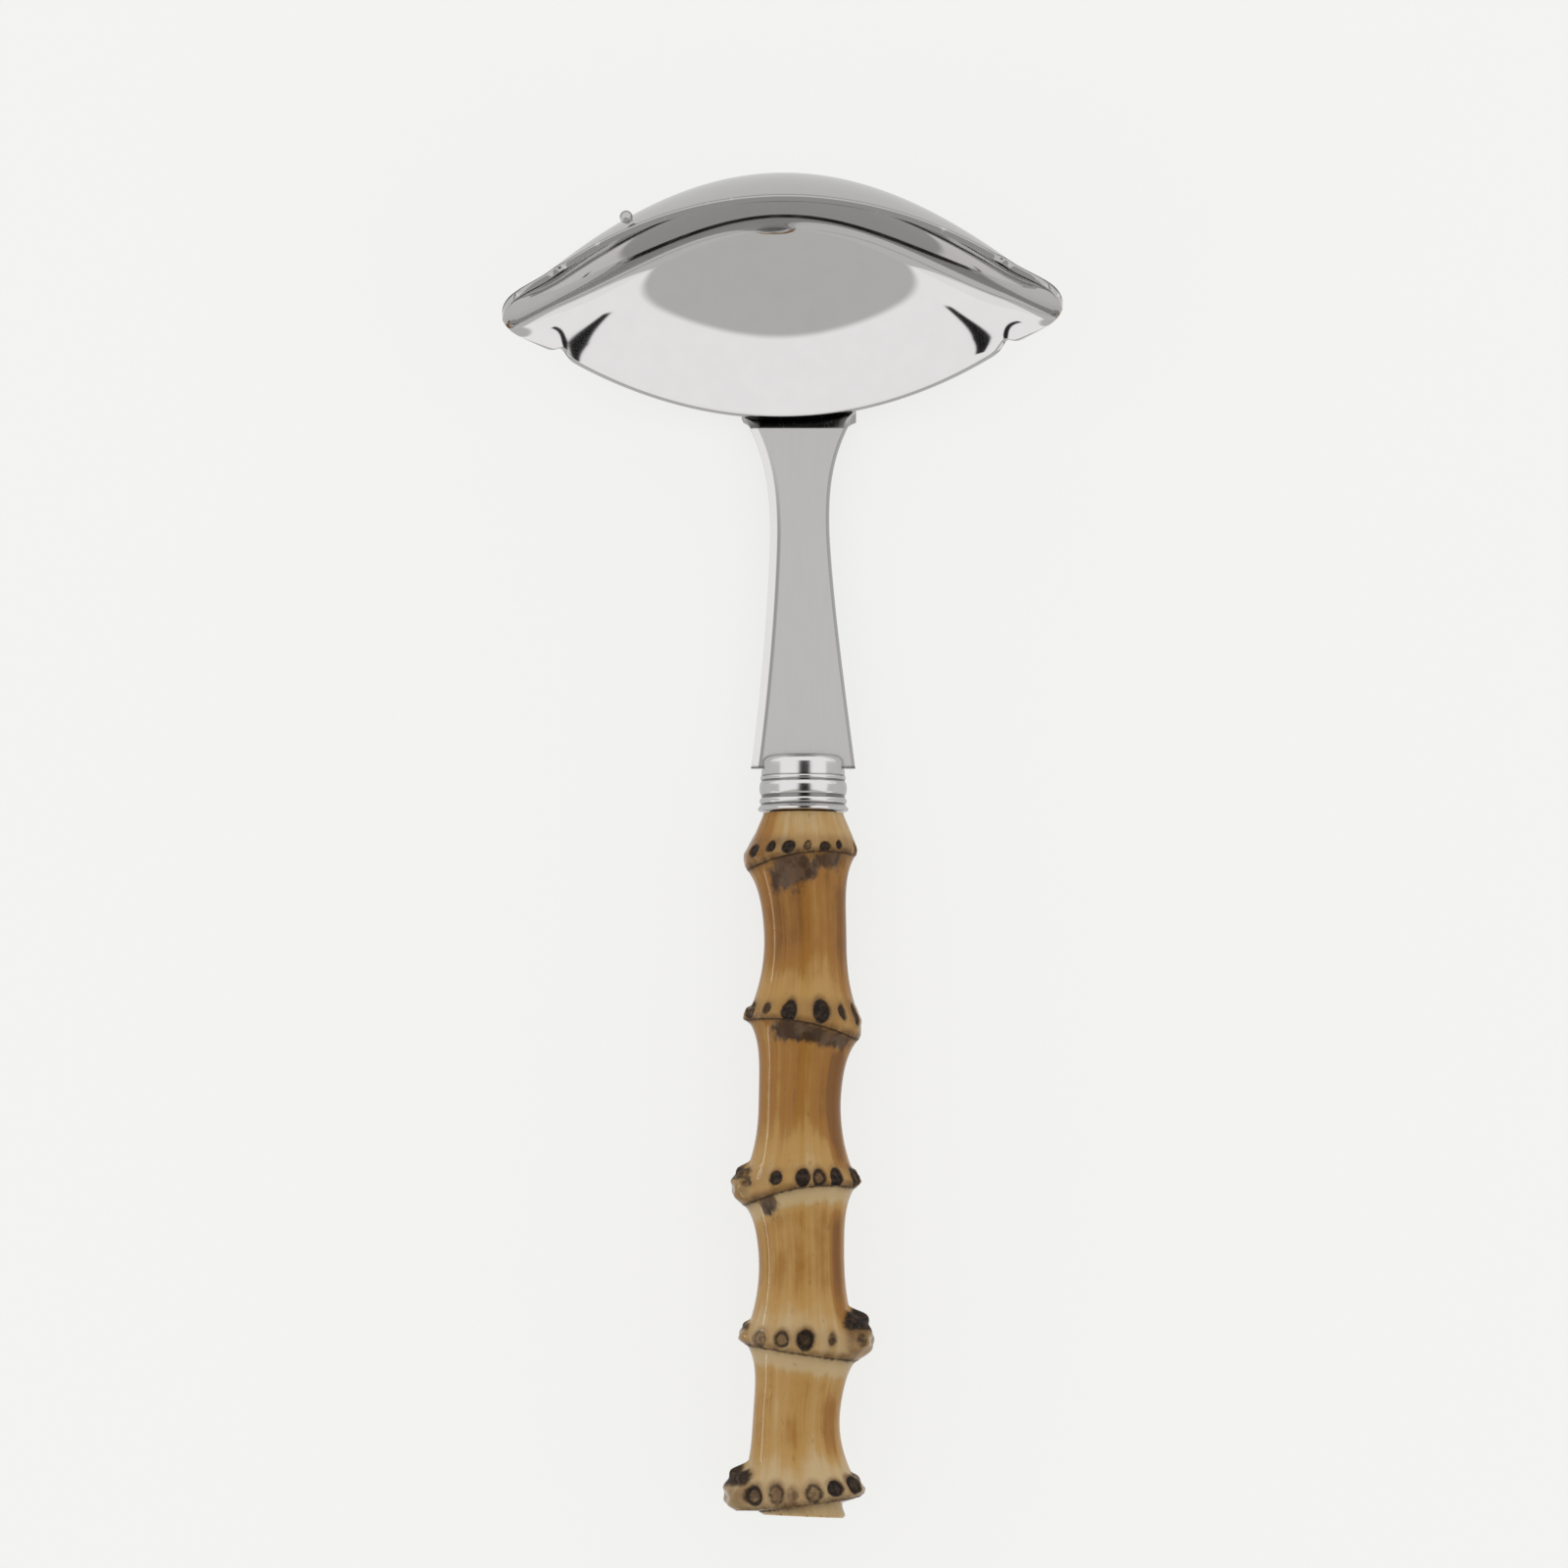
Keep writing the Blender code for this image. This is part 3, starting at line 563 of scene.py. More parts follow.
def blade_half_width(y):
    if y < WAIST_REACH:
        share = (WAIST_REACH - y) / (WAIST_REACH - SHOULDER_REACH)
        return WAIST_HALF_WIDTH + (SHOULDER_HALF_WIDTH - WAIST_HALF_WIDTH) * share ** SHOULDER_FLARE
    share = (y - WAIST_REACH) / (BEND_REACH - WAIST_REACH)
    return WAIST_HALF_WIDTH + (HEAD_HALF_WIDTH - WAIST_HALF_WIDTH) * share ** HEAD_FLARE


def blade_centre(y):
    return NECK_LEAN * smooth_step((y - SHOULDER_REACH) / (BEND_REACH - SHOULDER_REACH))


def near_wall(x, slope, lift):
    """Points of the near wall in the ladle's frame, at x along the bowl, lifted off its outside."""
    turn = np.arcsin(np.atleast_1d(x) / BOWL_HALF_LENGTH)
    down = np.full_like(turn, -slope)
    return placed(bowl_point(turn, down) + outward(turn, down) * lift, BOWL_SEAT)


def tongue_section(slope):
    """The head of the neck where it lies along the bowl, in the order of section()."""
    share = (SECTION_ARC - slope) / TONGUE_LENGTH
    rounded = math.sqrt(max(1 - share ** 2, 0.0))
    half = TONGUE_END_HALF_WIDTH + (TONGUE_HALF_WIDTH - TONGUE_END_HALF_WIDTH) * rounded
    thickness = NECK_THICKNESS + (TONGUE_END_THICKNESS - NECK_THICKNESS) * share
    middle = NECK_LEAN - BOWL_SHIFT - BOWL_HALF_WIDTH * math.sin(BOWL_YAW)
    back = near_wall(middle, slope, FIT_GAP + thickness)[0]
    side = near_wall(middle, slope, FIT_GAP + thickness - BEVEL_BACK)[0]
    across = np.linspace(BEVEL_BACK - half, half - BEVEL_BACK, FACE_POINTS)
    front = np.linspace(BEVEL_BACK - half, half - BEVEL_BACK, FACE_POINTS + 1)
    ring = list(near_wall(middle + front, slope, FIT_GAP))
    ring += [near_wall(middle + half, slope, FIT_GAP + BEVEL_BACK)[0], side + np.array((half, 0, 0))]
    ring += [back - np.array((x, 0, 0)) for x in across]
    ring += [side - np.array((half, 0, 0)), near_wall(middle - half, slope, FIT_GAP + BEVEL_BACK)[0]]
    return ring


def make_neck(material):
    blade = np.linspace(SHOULDER_REACH, BEND_REACH, BLADE_SECTIONS)
    rings = []
    for y in (-TANG_DEPTH, SHOULDER_REACH):
        rings.append(section(0, TANG_WIDTH / 2, TANG_THICKNESS, y, BEVEL_BACK, BEVEL_BACK))
    first = len(rings)
    for y in blade:
        rings.append(section(blade_centre(y), blade_half_width(y), NECK_THICKNESS, y, BEVEL_LEFT, BEVEL_RIGHT))
    last = len(rings)
    end = np.array(rings[-1])
    head = np.array(tongue_section(SECTION_ARC))
    for step in range(1, BEND_STEPS):
        share = np.array((step / BEND_STEPS) ** np.array((BEND_FLARE, 1, 1)))
        rings.append(end + (head - end) * share)
    for slope in np.linspace(SECTION_ARC, SECTION_ARC - TONGUE_LENGTH, TONGUE_SECTIONS):
        rings.append(tongue_section(slope))
    rings = np.array(rings)
    # Painted shade: dark on the bend and the head under the bowl, and all round the blade's first ring at the
    # shoulders
    painted_shade = np.zeros(rings.shape[:2])
    painted_shade[last:, 2:FACE_POINTS] = 1.0
    painted_shade[first] = 1.0
    bevel = np.zeros(rings.shape[:2])
    bevel[first:last, [0, -1, FACE_POINTS + 1]] = 1.0
    # Painted shade: a dark line where the face meets the left bevel, fading out toward the bowl
    line = np.zeros(rings.shape[:2])
    line[first:last, 1:3] = smooth_step((SHADE_LINE_TO - blade) / SHADE_LINE_FADE)[:, None]
    neck = add_mesh("ladle_neck", rings, tube_faces(*rings.shape[:2]))
    paint(neck, "painted_shade", painted_shade)
    paint(neck, "line", line)
    paint(neck, "bevel", bevel)
    finish_piece(neck, "neck", material)


# Ferrule

def bulge(low, height, proud):
    """Part of a turned profile: a half-round bead that stands proud of the ferrule's body."""
    turns = np.linspace(0, math.pi, BULGE_STEPS + 1)
    return [(FERRULE_RADIUS + proud * math.sin(t), low + height * (1 - math.cos(t)) / 2) for t in turns]


def ferrule_profile():
    """Radius and height, from the socket's roof round the outside to the crown."""
    ring_low = FLANGE_HEIGHT + GROOVE
    bead_low = ring_low + RING_HEIGHT + GROOVE
    fine_low = bead_low + BEAD_HEIGHT + GROOVE / 2
    flange = FERRULE_RADIUS + FLANGE_PROUD
    body_low = fine_low + FINE_BEAD_HEIGHT
    profile = [
        (SOCKET_RADIUS, SOCKET_DEPTH),
        (SOCKET_RADIUS, 0.0),
        (flange - FLANGE_EDGE, 0.0),
        (flange, FLANGE_EDGE),
        (flange, FLANGE_HEIGHT - FLANGE_EDGE),
        (flange - FLANGE_EDGE, FLANGE_HEIGHT),
    ]
    profile += bulge(ring_low, RING_HEIGHT, RING_PROUD)
    profile += bulge(bead_low, BEAD_HEIGHT, BEAD_PROUD)
    profile += bulge(fine_low, FINE_BEAD_HEIGHT, FINE_BEAD_PROUD)
    profile.append((FERRULE_RADIUS, body_low + GROOVE / 2))
    for turn in np.linspace(0, math.pi / 2, BULGE_STEPS + 1):
        radius = FERRULE_RADIUS - CROWN_ROUND * (1 - math.cos(turn))
        profile.append((radius, FERRULE_HEIGHT - CROWN_ROUND * (1 - math.sin(turn))))
    return profile


def cut_box(thing, size, centre):
    """Cuts a box out of a piece, and keeps only the result."""
    corners = [(x, y, z) for x in (-0.5, 0.5) for y in (-0.5, 0.5) for z in (-0.5, 0.5)]
    points = np.array(corners) * size + centre
    faces = [(0, 1, 3, 2), (4, 6, 7, 5), (0, 4, 5, 1), (2, 3, 7, 6), (0, 2, 6, 4), (1, 5, 7, 3)]
    cutter = add_mesh(thing.name + "_cutter", points, faces)
    face_out(cutter)
    modifier = thing.modifiers.new("cut", "BOOLEAN")
    modifier.operation = "DIFFERENCE"
    modifier.object = cutter
    graph = bpy.context.evaluated_depsgraph_get()
    thing.data = bpy.data.meshes.new_from_object(thing.evaluated_get(graph))
    thing.modifiers.clear()
    bpy.data.objects.remove(cutter)


def make_ferrule(material):
    rings = np.array([circle(radius, y, FERRULE_SIDES) for radius, y in ferrule_profile()])
    ferrule = add_mesh("ladle_ferrule", rings, tube_faces(*rings.shape[:2]))
    out = np.array([radius for radius, _ in ferrule_profile()])
    groove = bell((out - FERRULE_RADIUS) / GROOVE_DARK_RUN)
    groove[-BULGE_STEPS - 2:] = 0.0
    paint(ferrule, "groove", np.repeat(groove, FERRULE_SIDES))
    face_out(ferrule)
    through = 3 * FERRULE_RADIUS
    floor = SHOULDER_REACH - FIT_GAP
    cut_box(ferrule, (through, through, NECK_THICKNESS + 2 * FIT_GAP), (0, floor + through / 2, 0))
    cut_box(ferrule, (TANG_WIDTH + 2 * FIT_GAP, through, TANG_THICKNESS + 2 * FIT_GAP), (0, floor, 0))
    finish_piece(ferrule, "ferrule", material)


# Handle

def ridge_line(index, angle):
    """Height of a node's ridge at a bearing round the stem. Index -1 is the top of the bamboo."""
    if index < 0:
        return -FIT_GAP + 0 * angle
    node = NODES[index]
    return -NODE_DEPTHS[index] + node.lean * np.cos(angle) + node.fold * np.cos(2 * angle)


def stem_sway(y):
    places = [0.0]
    sways = [0.0]
    for depth, stretch, node in zip(NODE_DEPTHS, STRETCHES, NODES):
        places += [depth - stretch.length / 2, depth]
        sways += [stretch.sway, node.sway]
    places.append(HANDLE_LENGTH)
    sways.append(0.0)
    places = np.array(places)
    sways = np.array(sways)
    index = np.clip(np.searchsorted(places, -y) - 1, 0, len(places) - 2)
    share = smooth_step((-y - places[index]) / (places[index + 1] - places[index]))
    return sways[index] + (sways[index + 1] - sways[index]) * share


def swollen(index, y):
    """Radius of a stretch at a height, without the step under the ridge above it."""
    stretch = STRETCHES[index]
    level = (-y - NODE_DEPTHS[index] + stretch.length) / stretch.length
    way = np.clip((level - stretch.swell_from) / (stretch.swell_to - stretch.swell_from), 0.0, 1.0)
    return stretch.waist + (NODES[index].radius - stretch.waist) * way ** stretch.swell_power


def under_ridge(index, angle):
    """Radius just under a node's ridge, or at the top of the bamboo."""
    if index < 0:
        return TOP_RADIUS + 0 * angle
    return swollen(index, ridge_line(index, angle)) - RIDGE_STEP


def stretch_radius(index, share, y, angle):
    step = under_ridge(index - 1, angle) - STRETCHES[index].waist
    return swollen(index, y) + step * np.exp(-share / NARROWING)


def turn_from(angle, bearing):
    """The turn from a bearing in degrees, at most half a turn either way."""
    return np.remainder(angle - math.radians(bearing) + math.pi, math.tau) - math.pi


def hump(value):
    """1 with a flat top round zero, and close to 0 beyond 1.3."""
    return np.exp(-value ** 4)


def waved(waves, across, along):
    """1 with waves on it."""
    return 1 + sum(size * np.sin(a * across + b * along + phase) for size, a, b, phase in waves)


def beside(angle, mark):
    """1 at a mark's bearing, falling to 0 past its half angle."""
    return hump(turn_from(angle, mark.bearing) / math.radians(mark.half_angle))


def hidden_scars():
    """Scars on the side that lies on the table, drawn from a fixed seed."""
    draw = np.random.default_rng(SCAR_SEED)
    scars = []
    for node in range(len(NODES)):
        for middle in HIDDEN_BEARINGS:
            across = draw.uniform(*HIDDEN_ACROSS)
            along = across * draw.uniform(*HIDDEN_ALONG)
            up = draw.uniform(*HIDDEN_UP)
            bearing = middle + draw.uniform(*HIDDEN_STRAY)
            scars.append(Scar(node, bearing, up, across, along, draw.uniform(*HIDDEN_TONE), HIDDEN_RING))
    return scars


def darken(marks, name, values):
    marks[name] = np.maximum(marks[name], values)


def mark_scars(node, y, angle, marks):
    """Adds one node's root scars: relief, dark core, brown middle and brown surround."""
    above_row = y + NODE_DEPTHS[node] - NODES[node].row
    for number, scar in enumerate([*SCARS, *hidden_scars()]):
        if scar.node != node:
            continue
        across = 2 * turn_from(angle, scar.bearing) * NODES[node].radius / (scar.across * MM)
        along = 2 * (above_row / MM - scar.up) / scar.along
        way = np.arctan2(along, across)
        out = np.hypot(across, along) / (SCAR_GROWTH + waved(SCAR_WAVES, way, number))
        faint = 1 - scar.tone
        core = 1 - smooth_step((out - CORE_TO + FAINT_SHRINK * faint) / (CORE_SOFT + FAINT_SOFT * faint))
        ring = scar.ring * (1 - smooth_step((out - RING_AT) / RING_RUN))
        lip = SCAR_LIP * bell((out - 1) / SCAR_LIP_RUN)
        marks["relief"] += scar.tone * (lip - SCAR_SINK * core * (1 - ring))
        darken(marks, "burn", scar.tone * core * (1 - ring) * (1 - RING_PALE * scar.ring))
        darken(marks, "ring", ring * core)
        darken(marks, "halo", scar.tone * (1 - smooth_step((out - SURROUND_FROM) / SURROUND_RUN)))
    darken(marks, "halo", NODES[node].brown * hump(above_row / ROW_HALF))


def mark_ridges(index, above, below, angle, marks):
    """Adds the rounded rope of the ridge below a stretch and the fringed dark line under the ridge above it."""
    fringe = 1 + UNDER_FRINGE * np.sin(FRINGE_WAVES[0] * angle) * np.sin(FRINGE_WAVES[1] * angle + 1)
    rope = np.sin(ROPE_STRANDS * angle + ROPE_WANDER * np.sin(ROPE_WAVES * angle))
    marks["relief"] += (RIDGE_ROPE * rope - RIDGE_ROUND) * bell(above / RIDGE_ROUND_RUN)
    darken(marks, "burn", RIDGE_BURN * bell(above / RIDGE_LINE))
    darken(marks, "halo", bell(above / RIDGE_BROWN_RUN))
    if index:
        darken(marks, "burn", UNDER_DARK * bell(below / (RIDGE_LINE * fringe)))
        darken(marks, "halo", UNDER_BROWN * bell(below / UNDER_BROWN_RUN))


def mark_stubs(y, angle, marks):
    """Adds the stubs of roots: lumpy, rising slowly from below to a dark rough top."""
    for stub in STUBS:
        across = turn_from(angle, stub.bearing) / math.radians(stub.half_angle)
        along = ((y + NODE_DEPTHS[stub.node]) / MM - stub.above) / stub.half_length
        edge = waved(STUB_EDGE_WAVES, across, along)
        body = beside(angle, stub) * smooth_step((edge - along) / STUB_EDGE)
        body = body * smooth_step((along + STUB_FOOT) / STUB_SLOPE)
        marks["relief"] += stub.height * MM * body * waved(STUB_LUMPS, across, along)
        top = smooth_step((along + STUB_TOP) / STUB_TOP_RUN) * smooth_step(STUB_BURN_STEEP * body)
        darken(marks, "burn", stub.dark * top)
        darken(marks, "halo", STUB_BROWN * stub.dark * smooth_step(STUB_BROWN_STEEP * body))


def mark_cane(index, share, below, angle, marks):
    """Adds the tint of a stretch, its stripes and the painted shade on its right flank, and the stains under
    its upper ridge.
    """
    stretch = STRETCHES[index]
    low = (stretch.low - stretch.middle) * smooth_step((share - TINT_LOW_FROM) / TINT_LOW_RUN)
    top = (stretch.top - stretch.middle) * hump(below / TINT_TOP_RUN)
    marks["tint"] += stretch.middle + low + top
    for stripe in STRIPES_AND_SHADE:
        if stripe.stretch == index:
            ends = smooth_step((share - stripe.start) / STRIPE_FADE)
            ends = ends * smooth_step((stripe.stop - share) / STRIPE_FADE)
            marks["tint"] -= stripe.depth * ends * beside(angle, stripe)
    for stain in STAINS:
        if stain.stretch == index:
            level = (below / MM - stain.below) / stain.half_length
            darken(marks, "stain", stain.dark * np.sqrt(beside(angle, stain)) * bell(level))


MARKS = ("relief", "burn", "ring", "halo", "stain", "tint", "cut")


def blank_marks(shape):
    return {name: np.zeros(shape) for name in MARKS}


def stem_points(y, out, angle):
    return np.stack((stem_sway(y) + out * np.cos(angle), y, out * np.sin(angle)), axis=-1)


def unevenness(y, angle):
    slow, quick = UNEVEN_WAVES
    return UNEVEN * (np.sin(2 * angle + y / quick) + np.sin(3 * angle - y / slow + 1)) / 2


def stretch_rows(index, angle):
    """Points and marks of one stretch, from the ridge above it to the ridge below."""
    shares = [np.linspace(*part) for part in ROW_SHARES]
    share = np.concatenate(shares)[:, None] if index else np.linspace(0, 1, TOP_ROWS)[:, None]
    upper = ridge_line(index - 1, angle)
    lower = ridge_line(index, angle)
    y = upper + (lower - upper) * share
    marks = blank_marks(y.shape)
    mark_cane(index, share, upper - y, angle, marks)
    mark_ridges(index, y - lower, upper - y, angle, marks)
    mark_scars(index, y, angle, marks)
    mark_stubs(y, angle, marks)
    flat_back = smooth_step((np.sin(angle) + 1) / BACK_REST)
    relief = marks["relief"] + unevenness(y, angle)
    relief = np.where(relief > 0, relief * flat_back, relief)
    return stem_points(y, stretch_radius(index, share, y, angle) + relief, angle), marks


def butt_rows(angle):
    """Points and marks of the short end below the last node."""
    share = np.linspace(0, 1, BUTT_ROWS)[:, None]
    last = ridge_line(len(NODES) - 1, angle)
    slanted = -HANDLE_LENGTH + BUTT_RADIUS * (1 - np.cos(angle)) * math.tan(BUTT_SLANT)
    y = last + (slanted + BUTT_EDGE - last) * share
    marks = blank_marks(y.shape)
    marks["tint"] += BUTT_TINT
    mark_ridges(len(NODES), HANDLE_LENGTH, last - y, angle, marks)
    start = under_ridge(len(NODES) - 1, angle)
    out = start + (BUTT_RADIUS - start) * smooth_step(share / BUTT_SWEEP)
    return stem_points(y, out, angle), marks


def cut_rows(angle):
    """Points and marks of the flat cut at the butt."""
    out = (BUTT_RADIUS - BUTT_EDGE) * np.array(BUTT_RINGS)[:, None]
    y = -HANDLE_LENGTH + (BUTT_RADIUS - out * np.cos(angle)) * math.tan(BUTT_SLANT)
    marks = blank_marks(y.shape)
    marks["cut"] += 1.0
    return np.stack((out * np.cos(angle), y, out * np.sin(angle) + 0 * y), axis=-1), marks


def make_handle(material):
    angle = (np.arange(STEM_SIDES) * math.tau / STEM_SIDES)[None, :]
    bore = [(BORE_RADIUS, BORE_BOTTOM), (BORE_RADIUS, TENON_TOP)]
    tenon = [(TENON_RADIUS, TENON_TOP), (TENON_RADIUS, -FIT_GAP)]
    parts = [(circle(radius, y, STEM_SIDES)[None], blank_marks(angle.shape)) for radius, y in bore + tenon]
    parts += [stretch_rows(index, angle) for index in range(len(NODES))]
    parts += [butt_rows(angle), cut_rows(angle)]
    rings = np.concatenate([points for points, _ in parts])
    marks = {name: np.concatenate([marks[name] for _, marks in parts]) for name in MARKS}
    handle = add_mesh("ladle_handle", rings, tube_faces(*rings.shape[:2]))
    for name in MARKS[1:]:
        paint(handle, name, marks[name])
    around = GRAIN_RADIUS + 0 * rings[..., 1]
    grain = np.stack((around * np.cos(angle), rings[..., 1], around * np.sin(angle)), axis=-1)
    grain = np.where(marks["cut"][..., None] > 0, rings, grain)
    handle.data.attributes.new("grain", "FLOAT_VECTOR", "POINT").data.foreach_set("vector", grain.ravel())
    finish_piece(handle, "handle", material)


# Stud

def make_stud(material):
    slope = np.array([SECTION_ARC - STUD_BELOW_RIM])
    turn = np.array([math.asin(STUD_ALONG / BOWL_HALF_LENGTH)])
    neck_turn = math.asin(STUD_FOOT_RADIUS / STUD_RADIUS)
    ball_centre = FIT_GAP + STUD_FOOT_HEIGHT + STUD_RADIUS * math.cos(neck_turn)
    rings = [circle(STUD_FOOT_RADIUS, FIT_GAP, STUD_SIDES)]
    for bend in np.linspace(neck_turn, STUD_CAP, STUD_RINGS):
        height = ball_centre - STUD_RADIUS * math.cos(bend)
        rings.append(circle(STUD_RADIUS * math.sin(bend), height, STUD_SIDES))
    foot = Vector(bowl_point(turn, slope)[0])
    aim = Vector(outward(turn, slope)[0]).to_track_quat("Y", "Z")
    seat = BOWL_SEAT @ Matrix.Translation(foot) @ aim.to_matrix().to_4x4()
    rings = placed(np.array(rings), seat)
    stud = add_mesh("ladle_stud", rings, tube_faces(*rings.shape[:2]))
    finish_piece(stud, "back_stud", material)


# Node helpers

def connect(tree, socket, value):
    """Links a socket to another node's output, or sets it to a plain value."""
    if isinstance(value, bpy.types.NodeSocket):
        tree.links.new(value, socket)
    else:
        socket.default_value = value


def maths(tree, operation, *values):
    made = tree.nodes.new("ShaderNodeMath")
    made.operation = operation
    for socket, value in zip(made.inputs, values):
        connect(tree, socket, value)
    return made.outputs[0]


def rise(tree, value, low, high):
    """0 below the low value, 1 above the high one, eased between. It falls instead if low is the larger."""
    made = tree.nodes.new("ShaderNodeMapRange")
    made.interpolation_type = "SMOOTHSTEP"
    for name, given in (("Value", value), ("From Min", low), ("From Max", high)):
        connect(tree, made.inputs[name], given)
    return made.outputs["Result"]


def mix(tree, share, low, high):
    """A colour between two, by a share."""
    made = tree.nodes.new("ShaderNodeMix")
    made.data_type = "RGBA"
    for name, given in (("Factor_Float", share), ("A_Color", low), ("B_Color", high)):
        socket = next(entry for entry in made.inputs if entry.identifier == name)
        connect(tree, socket, given if isinstance(given, (float, bpy.types.NodeSocket)) else (*given, 1.0))
    return next(entry for entry in made.outputs if entry.identifier == "Result_Color")


def times(tree, first, *others):
    """The product of values."""
    for other in others:
        first = maths(tree, "MULTIPLY", first, other)
    return first


def new_material(name):
    material = bpy.data.materials.new(name)
    material.use_nodes = True
    return material, material.node_tree, material.node_tree.nodes["Principled BSDF"]


def attribute(tree, name, output="Fac"):
    made = tree.nodes.new("ShaderNodeAttribute")
    made.attribute_name = name
    return made.outputs[output]


def own_place(tree):
    return tree.nodes.new("ShaderNodeTexCoord").outputs["Object"]


def noise(tree, vector, scale, detail):
    """Smooth noise from 0 to 1, with a scale for each axis in waves a metre."""
    stretched = tree.nodes.new("ShaderNodeVectorMath")
    stretched.operation = "MULTIPLY"
    tree.links.new(vector, stretched.inputs[0])
    stretched.inputs[1].default_value = scale
    made = tree.nodes.new("ShaderNodeTexNoise")
    made.inputs["Scale"].default_value = 1.0
    made.inputs["Detail"].default_value = detail
    tree.links.new(stretched.outputs[0], made.inputs["Vector"])
    return made.outputs["Fac"]


def waver(tree, value, spread, middle):
    """Noise spread round a middle value."""
    return maths(tree, "MULTIPLY_ADD", maths(tree, "SUBTRACT", value, 0.5), spread, middle)


def show(tree, share, first, second):
    """Makes a material of two shaders: the second one by a share, the first one for the rest."""
    both = tree.nodes.new("ShaderNodeMixShader")
    for socket, output in zip(both.inputs, (share, first, second)):
        tree.links.new(output, socket)
    tree.links.new(both.outputs[0], tree.nodes["Material Output"].inputs["Surface"])


def set_matt(shader, tone):
    """Makes a shader a paint without shine."""
    shader.inputs["Base Color"].default_value = (*tone, 1.0)
    shader.inputs["Roughness"].default_value = 1.0
    shader.inputs["Specular IOR Level"].default_value = 0.0


# Studio

TABLE_HALF = 2.0
TABLE_PALE = (0.885, 0.885, 0.868)  # what a viewer sees of the table
TABLE_MIRRORED = (0.68, 0.68, 0.67)  # what a mirror sees of it
TABLE_PAINT = (0.90, 0.90, 0.885)  # what the light falls on
TABLE_GLOW = 0.85  # how much of the view of the table is the pale tone, and not the light on it
TENT_WHITE = (1.29, 1.27, 1.28)
TENT_GREY = (0.69, 0.685, 0.67)
TENT_GAP = (0.02, 0.02, 0.02)

# The grey opening is a cone of directions toward the handle. It and the dark gaps were fitted to what the
# bowl mirrors.
OPENING_LEAN = 1.206
OPENING_SPREAD = 1.207
OPENING_HEIGHT = 1.148
OPENING_SOFT = 0.04
GAP_TURN = 0.13  # how far toward the handle from square across a gap is highest
GAP_HEIGHT = (0.34, 0.0285)  # the second number tells the right one from the left one, as in the next two
GAP_CURVE = (0.61, 0.15)
GAP_STOP = (0.15, 0.05)
GAP_START = (-0.53, -0.50)
GAP_HALF = 0.033
GAP_TAPER = 0.05
GAP_SOFT = 0.006

# A black card over ferrule and handle: half width and length, place, where its sides fade, and from how far
# away mirrors see it
FLAG_SIZE = (11.0 * MM, 122.0 * MM, 1.0)
FLAG_PLACE = (5.1 * MM, -101.0 * MM, 40.0 * MM)
FLAG_SOFT = (11.0 * MM, 5.0 * MM)
FLAG_REACH = (32.0 * MM, 29.0 * MM)

# Upright cards beside the ladle, in its own axes: how far aside, start and end along it, lower and upper
# edge, and how bright. A narrow lamp left of the handle and a grey card on each side of the ferrule.
SideCard = namedtuple("SideCard", "name aside start end low high bright")
SIDE_CARDS = (
    SideCard("strip_lamp", -44.0 * MM, -104.0 * MM, -11.0 * MM, -2.4 * MM, 0.6 * MM, 9.0),
    SideCard("left_grey_card", -30.0 * MM, -10.0 * MM, 11.0 * MM, -8.0 * MM, 16.5 * MM, 0.75),
    SideCard("right_grey_card", 30.0 * MM, -10.0 * MM, 11.0 * MM, -8.0 * MM, 16.5 * MM, 0.75),
)
SIDE_REACH = (48.0 * MM, 44.0 * MM)

# White cards on the table left and right of the bowl, with a dark edge, which only mirrors see
CARD_WHITE = (1.25, 1.23, 1.24)
CARD_INNER = (48 * MM, 49 * MM)
CARD_START = (70 * MM, 80 * MM)
CARD_END = (95 * MM, 88 * MM)
EDGE_INNER = (44 * MM, 45 * MM)
EDGE_OUTER = (48 * MM, 47 * MM)


def seen(tree):
    """1 for what the camera sees, in mirrors and through glass too, and 0 for light that lands on things."""
    path = tree.nodes.new("ShaderNodeLightPath")
    either = maths(tree, "MAXIMUM", path.outputs["Is Camera Ray"], path.outputs["Is Glossy Ray"])
    return maths(tree, "MAXIMUM", either, path.outputs["Is Transmission Ray"])


def position(tree):
    """The place of a point, axis by axis."""
    split = tree.nodes.new("ShaderNodeSeparateXYZ")
    tree.links.new(tree.nodes.new("ShaderNodeNewGeometry").outputs["Position"], split.inputs[0])
    return split.outputs


def close_by(tree, reach):
    """1 for what is mirrored from close by, 0 from beyond the reach."""
    return rise(tree, tree.nodes.new("ShaderNodeLightPath").outputs["Ray Length"], *reach)


def make_table():
    half = TABLE_HALF
    corners = np.array([(-half, -half, 0), (half, -half, 0), (half, half, 0), (-half, half, 0)])
    table = add_mesh("table", corners, [(0, 1, 2, 3)])
    material, tree, shader = new_material("pale_table")
    set_matt(shader, TABLE_PAINT)
    x, y, _ = position(tree)
    aside = maths(tree, "ABSOLUTE", x)
    behind = rise(tree, y, *CARD_END)
    facing = rise(tree, maths(tree, "MULTIPLY_ADD", aside, OPENING_SPREAD, y), *CARD_START)
    card = times(tree, behind, facing, rise(tree, aside, *CARD_INNER))
    edge = times(tree, rise(tree, aside, *EDGE_INNER), rise(tree, aside, *EDGE_OUTER), behind)
    mirrored = mix(tree, card, TABLE_MIRRORED, CARD_WHITE)
    mirrored = mix(tree, edge, mirrored, TENT_GAP)
    path = tree.nodes.new("ShaderNodeLightPath")
    glow = tree.nodes.new("ShaderNodeEmission")
    tree.links.new(mix(tree, path.outputs["Is Glossy Ray"], TABLE_PALE, mirrored), glow.inputs["Color"])
    show(tree, times(tree, seen(tree), TABLE_GLOW), shader.outputs[0], glow.outputs[0])
    table.data.materials.append(material)


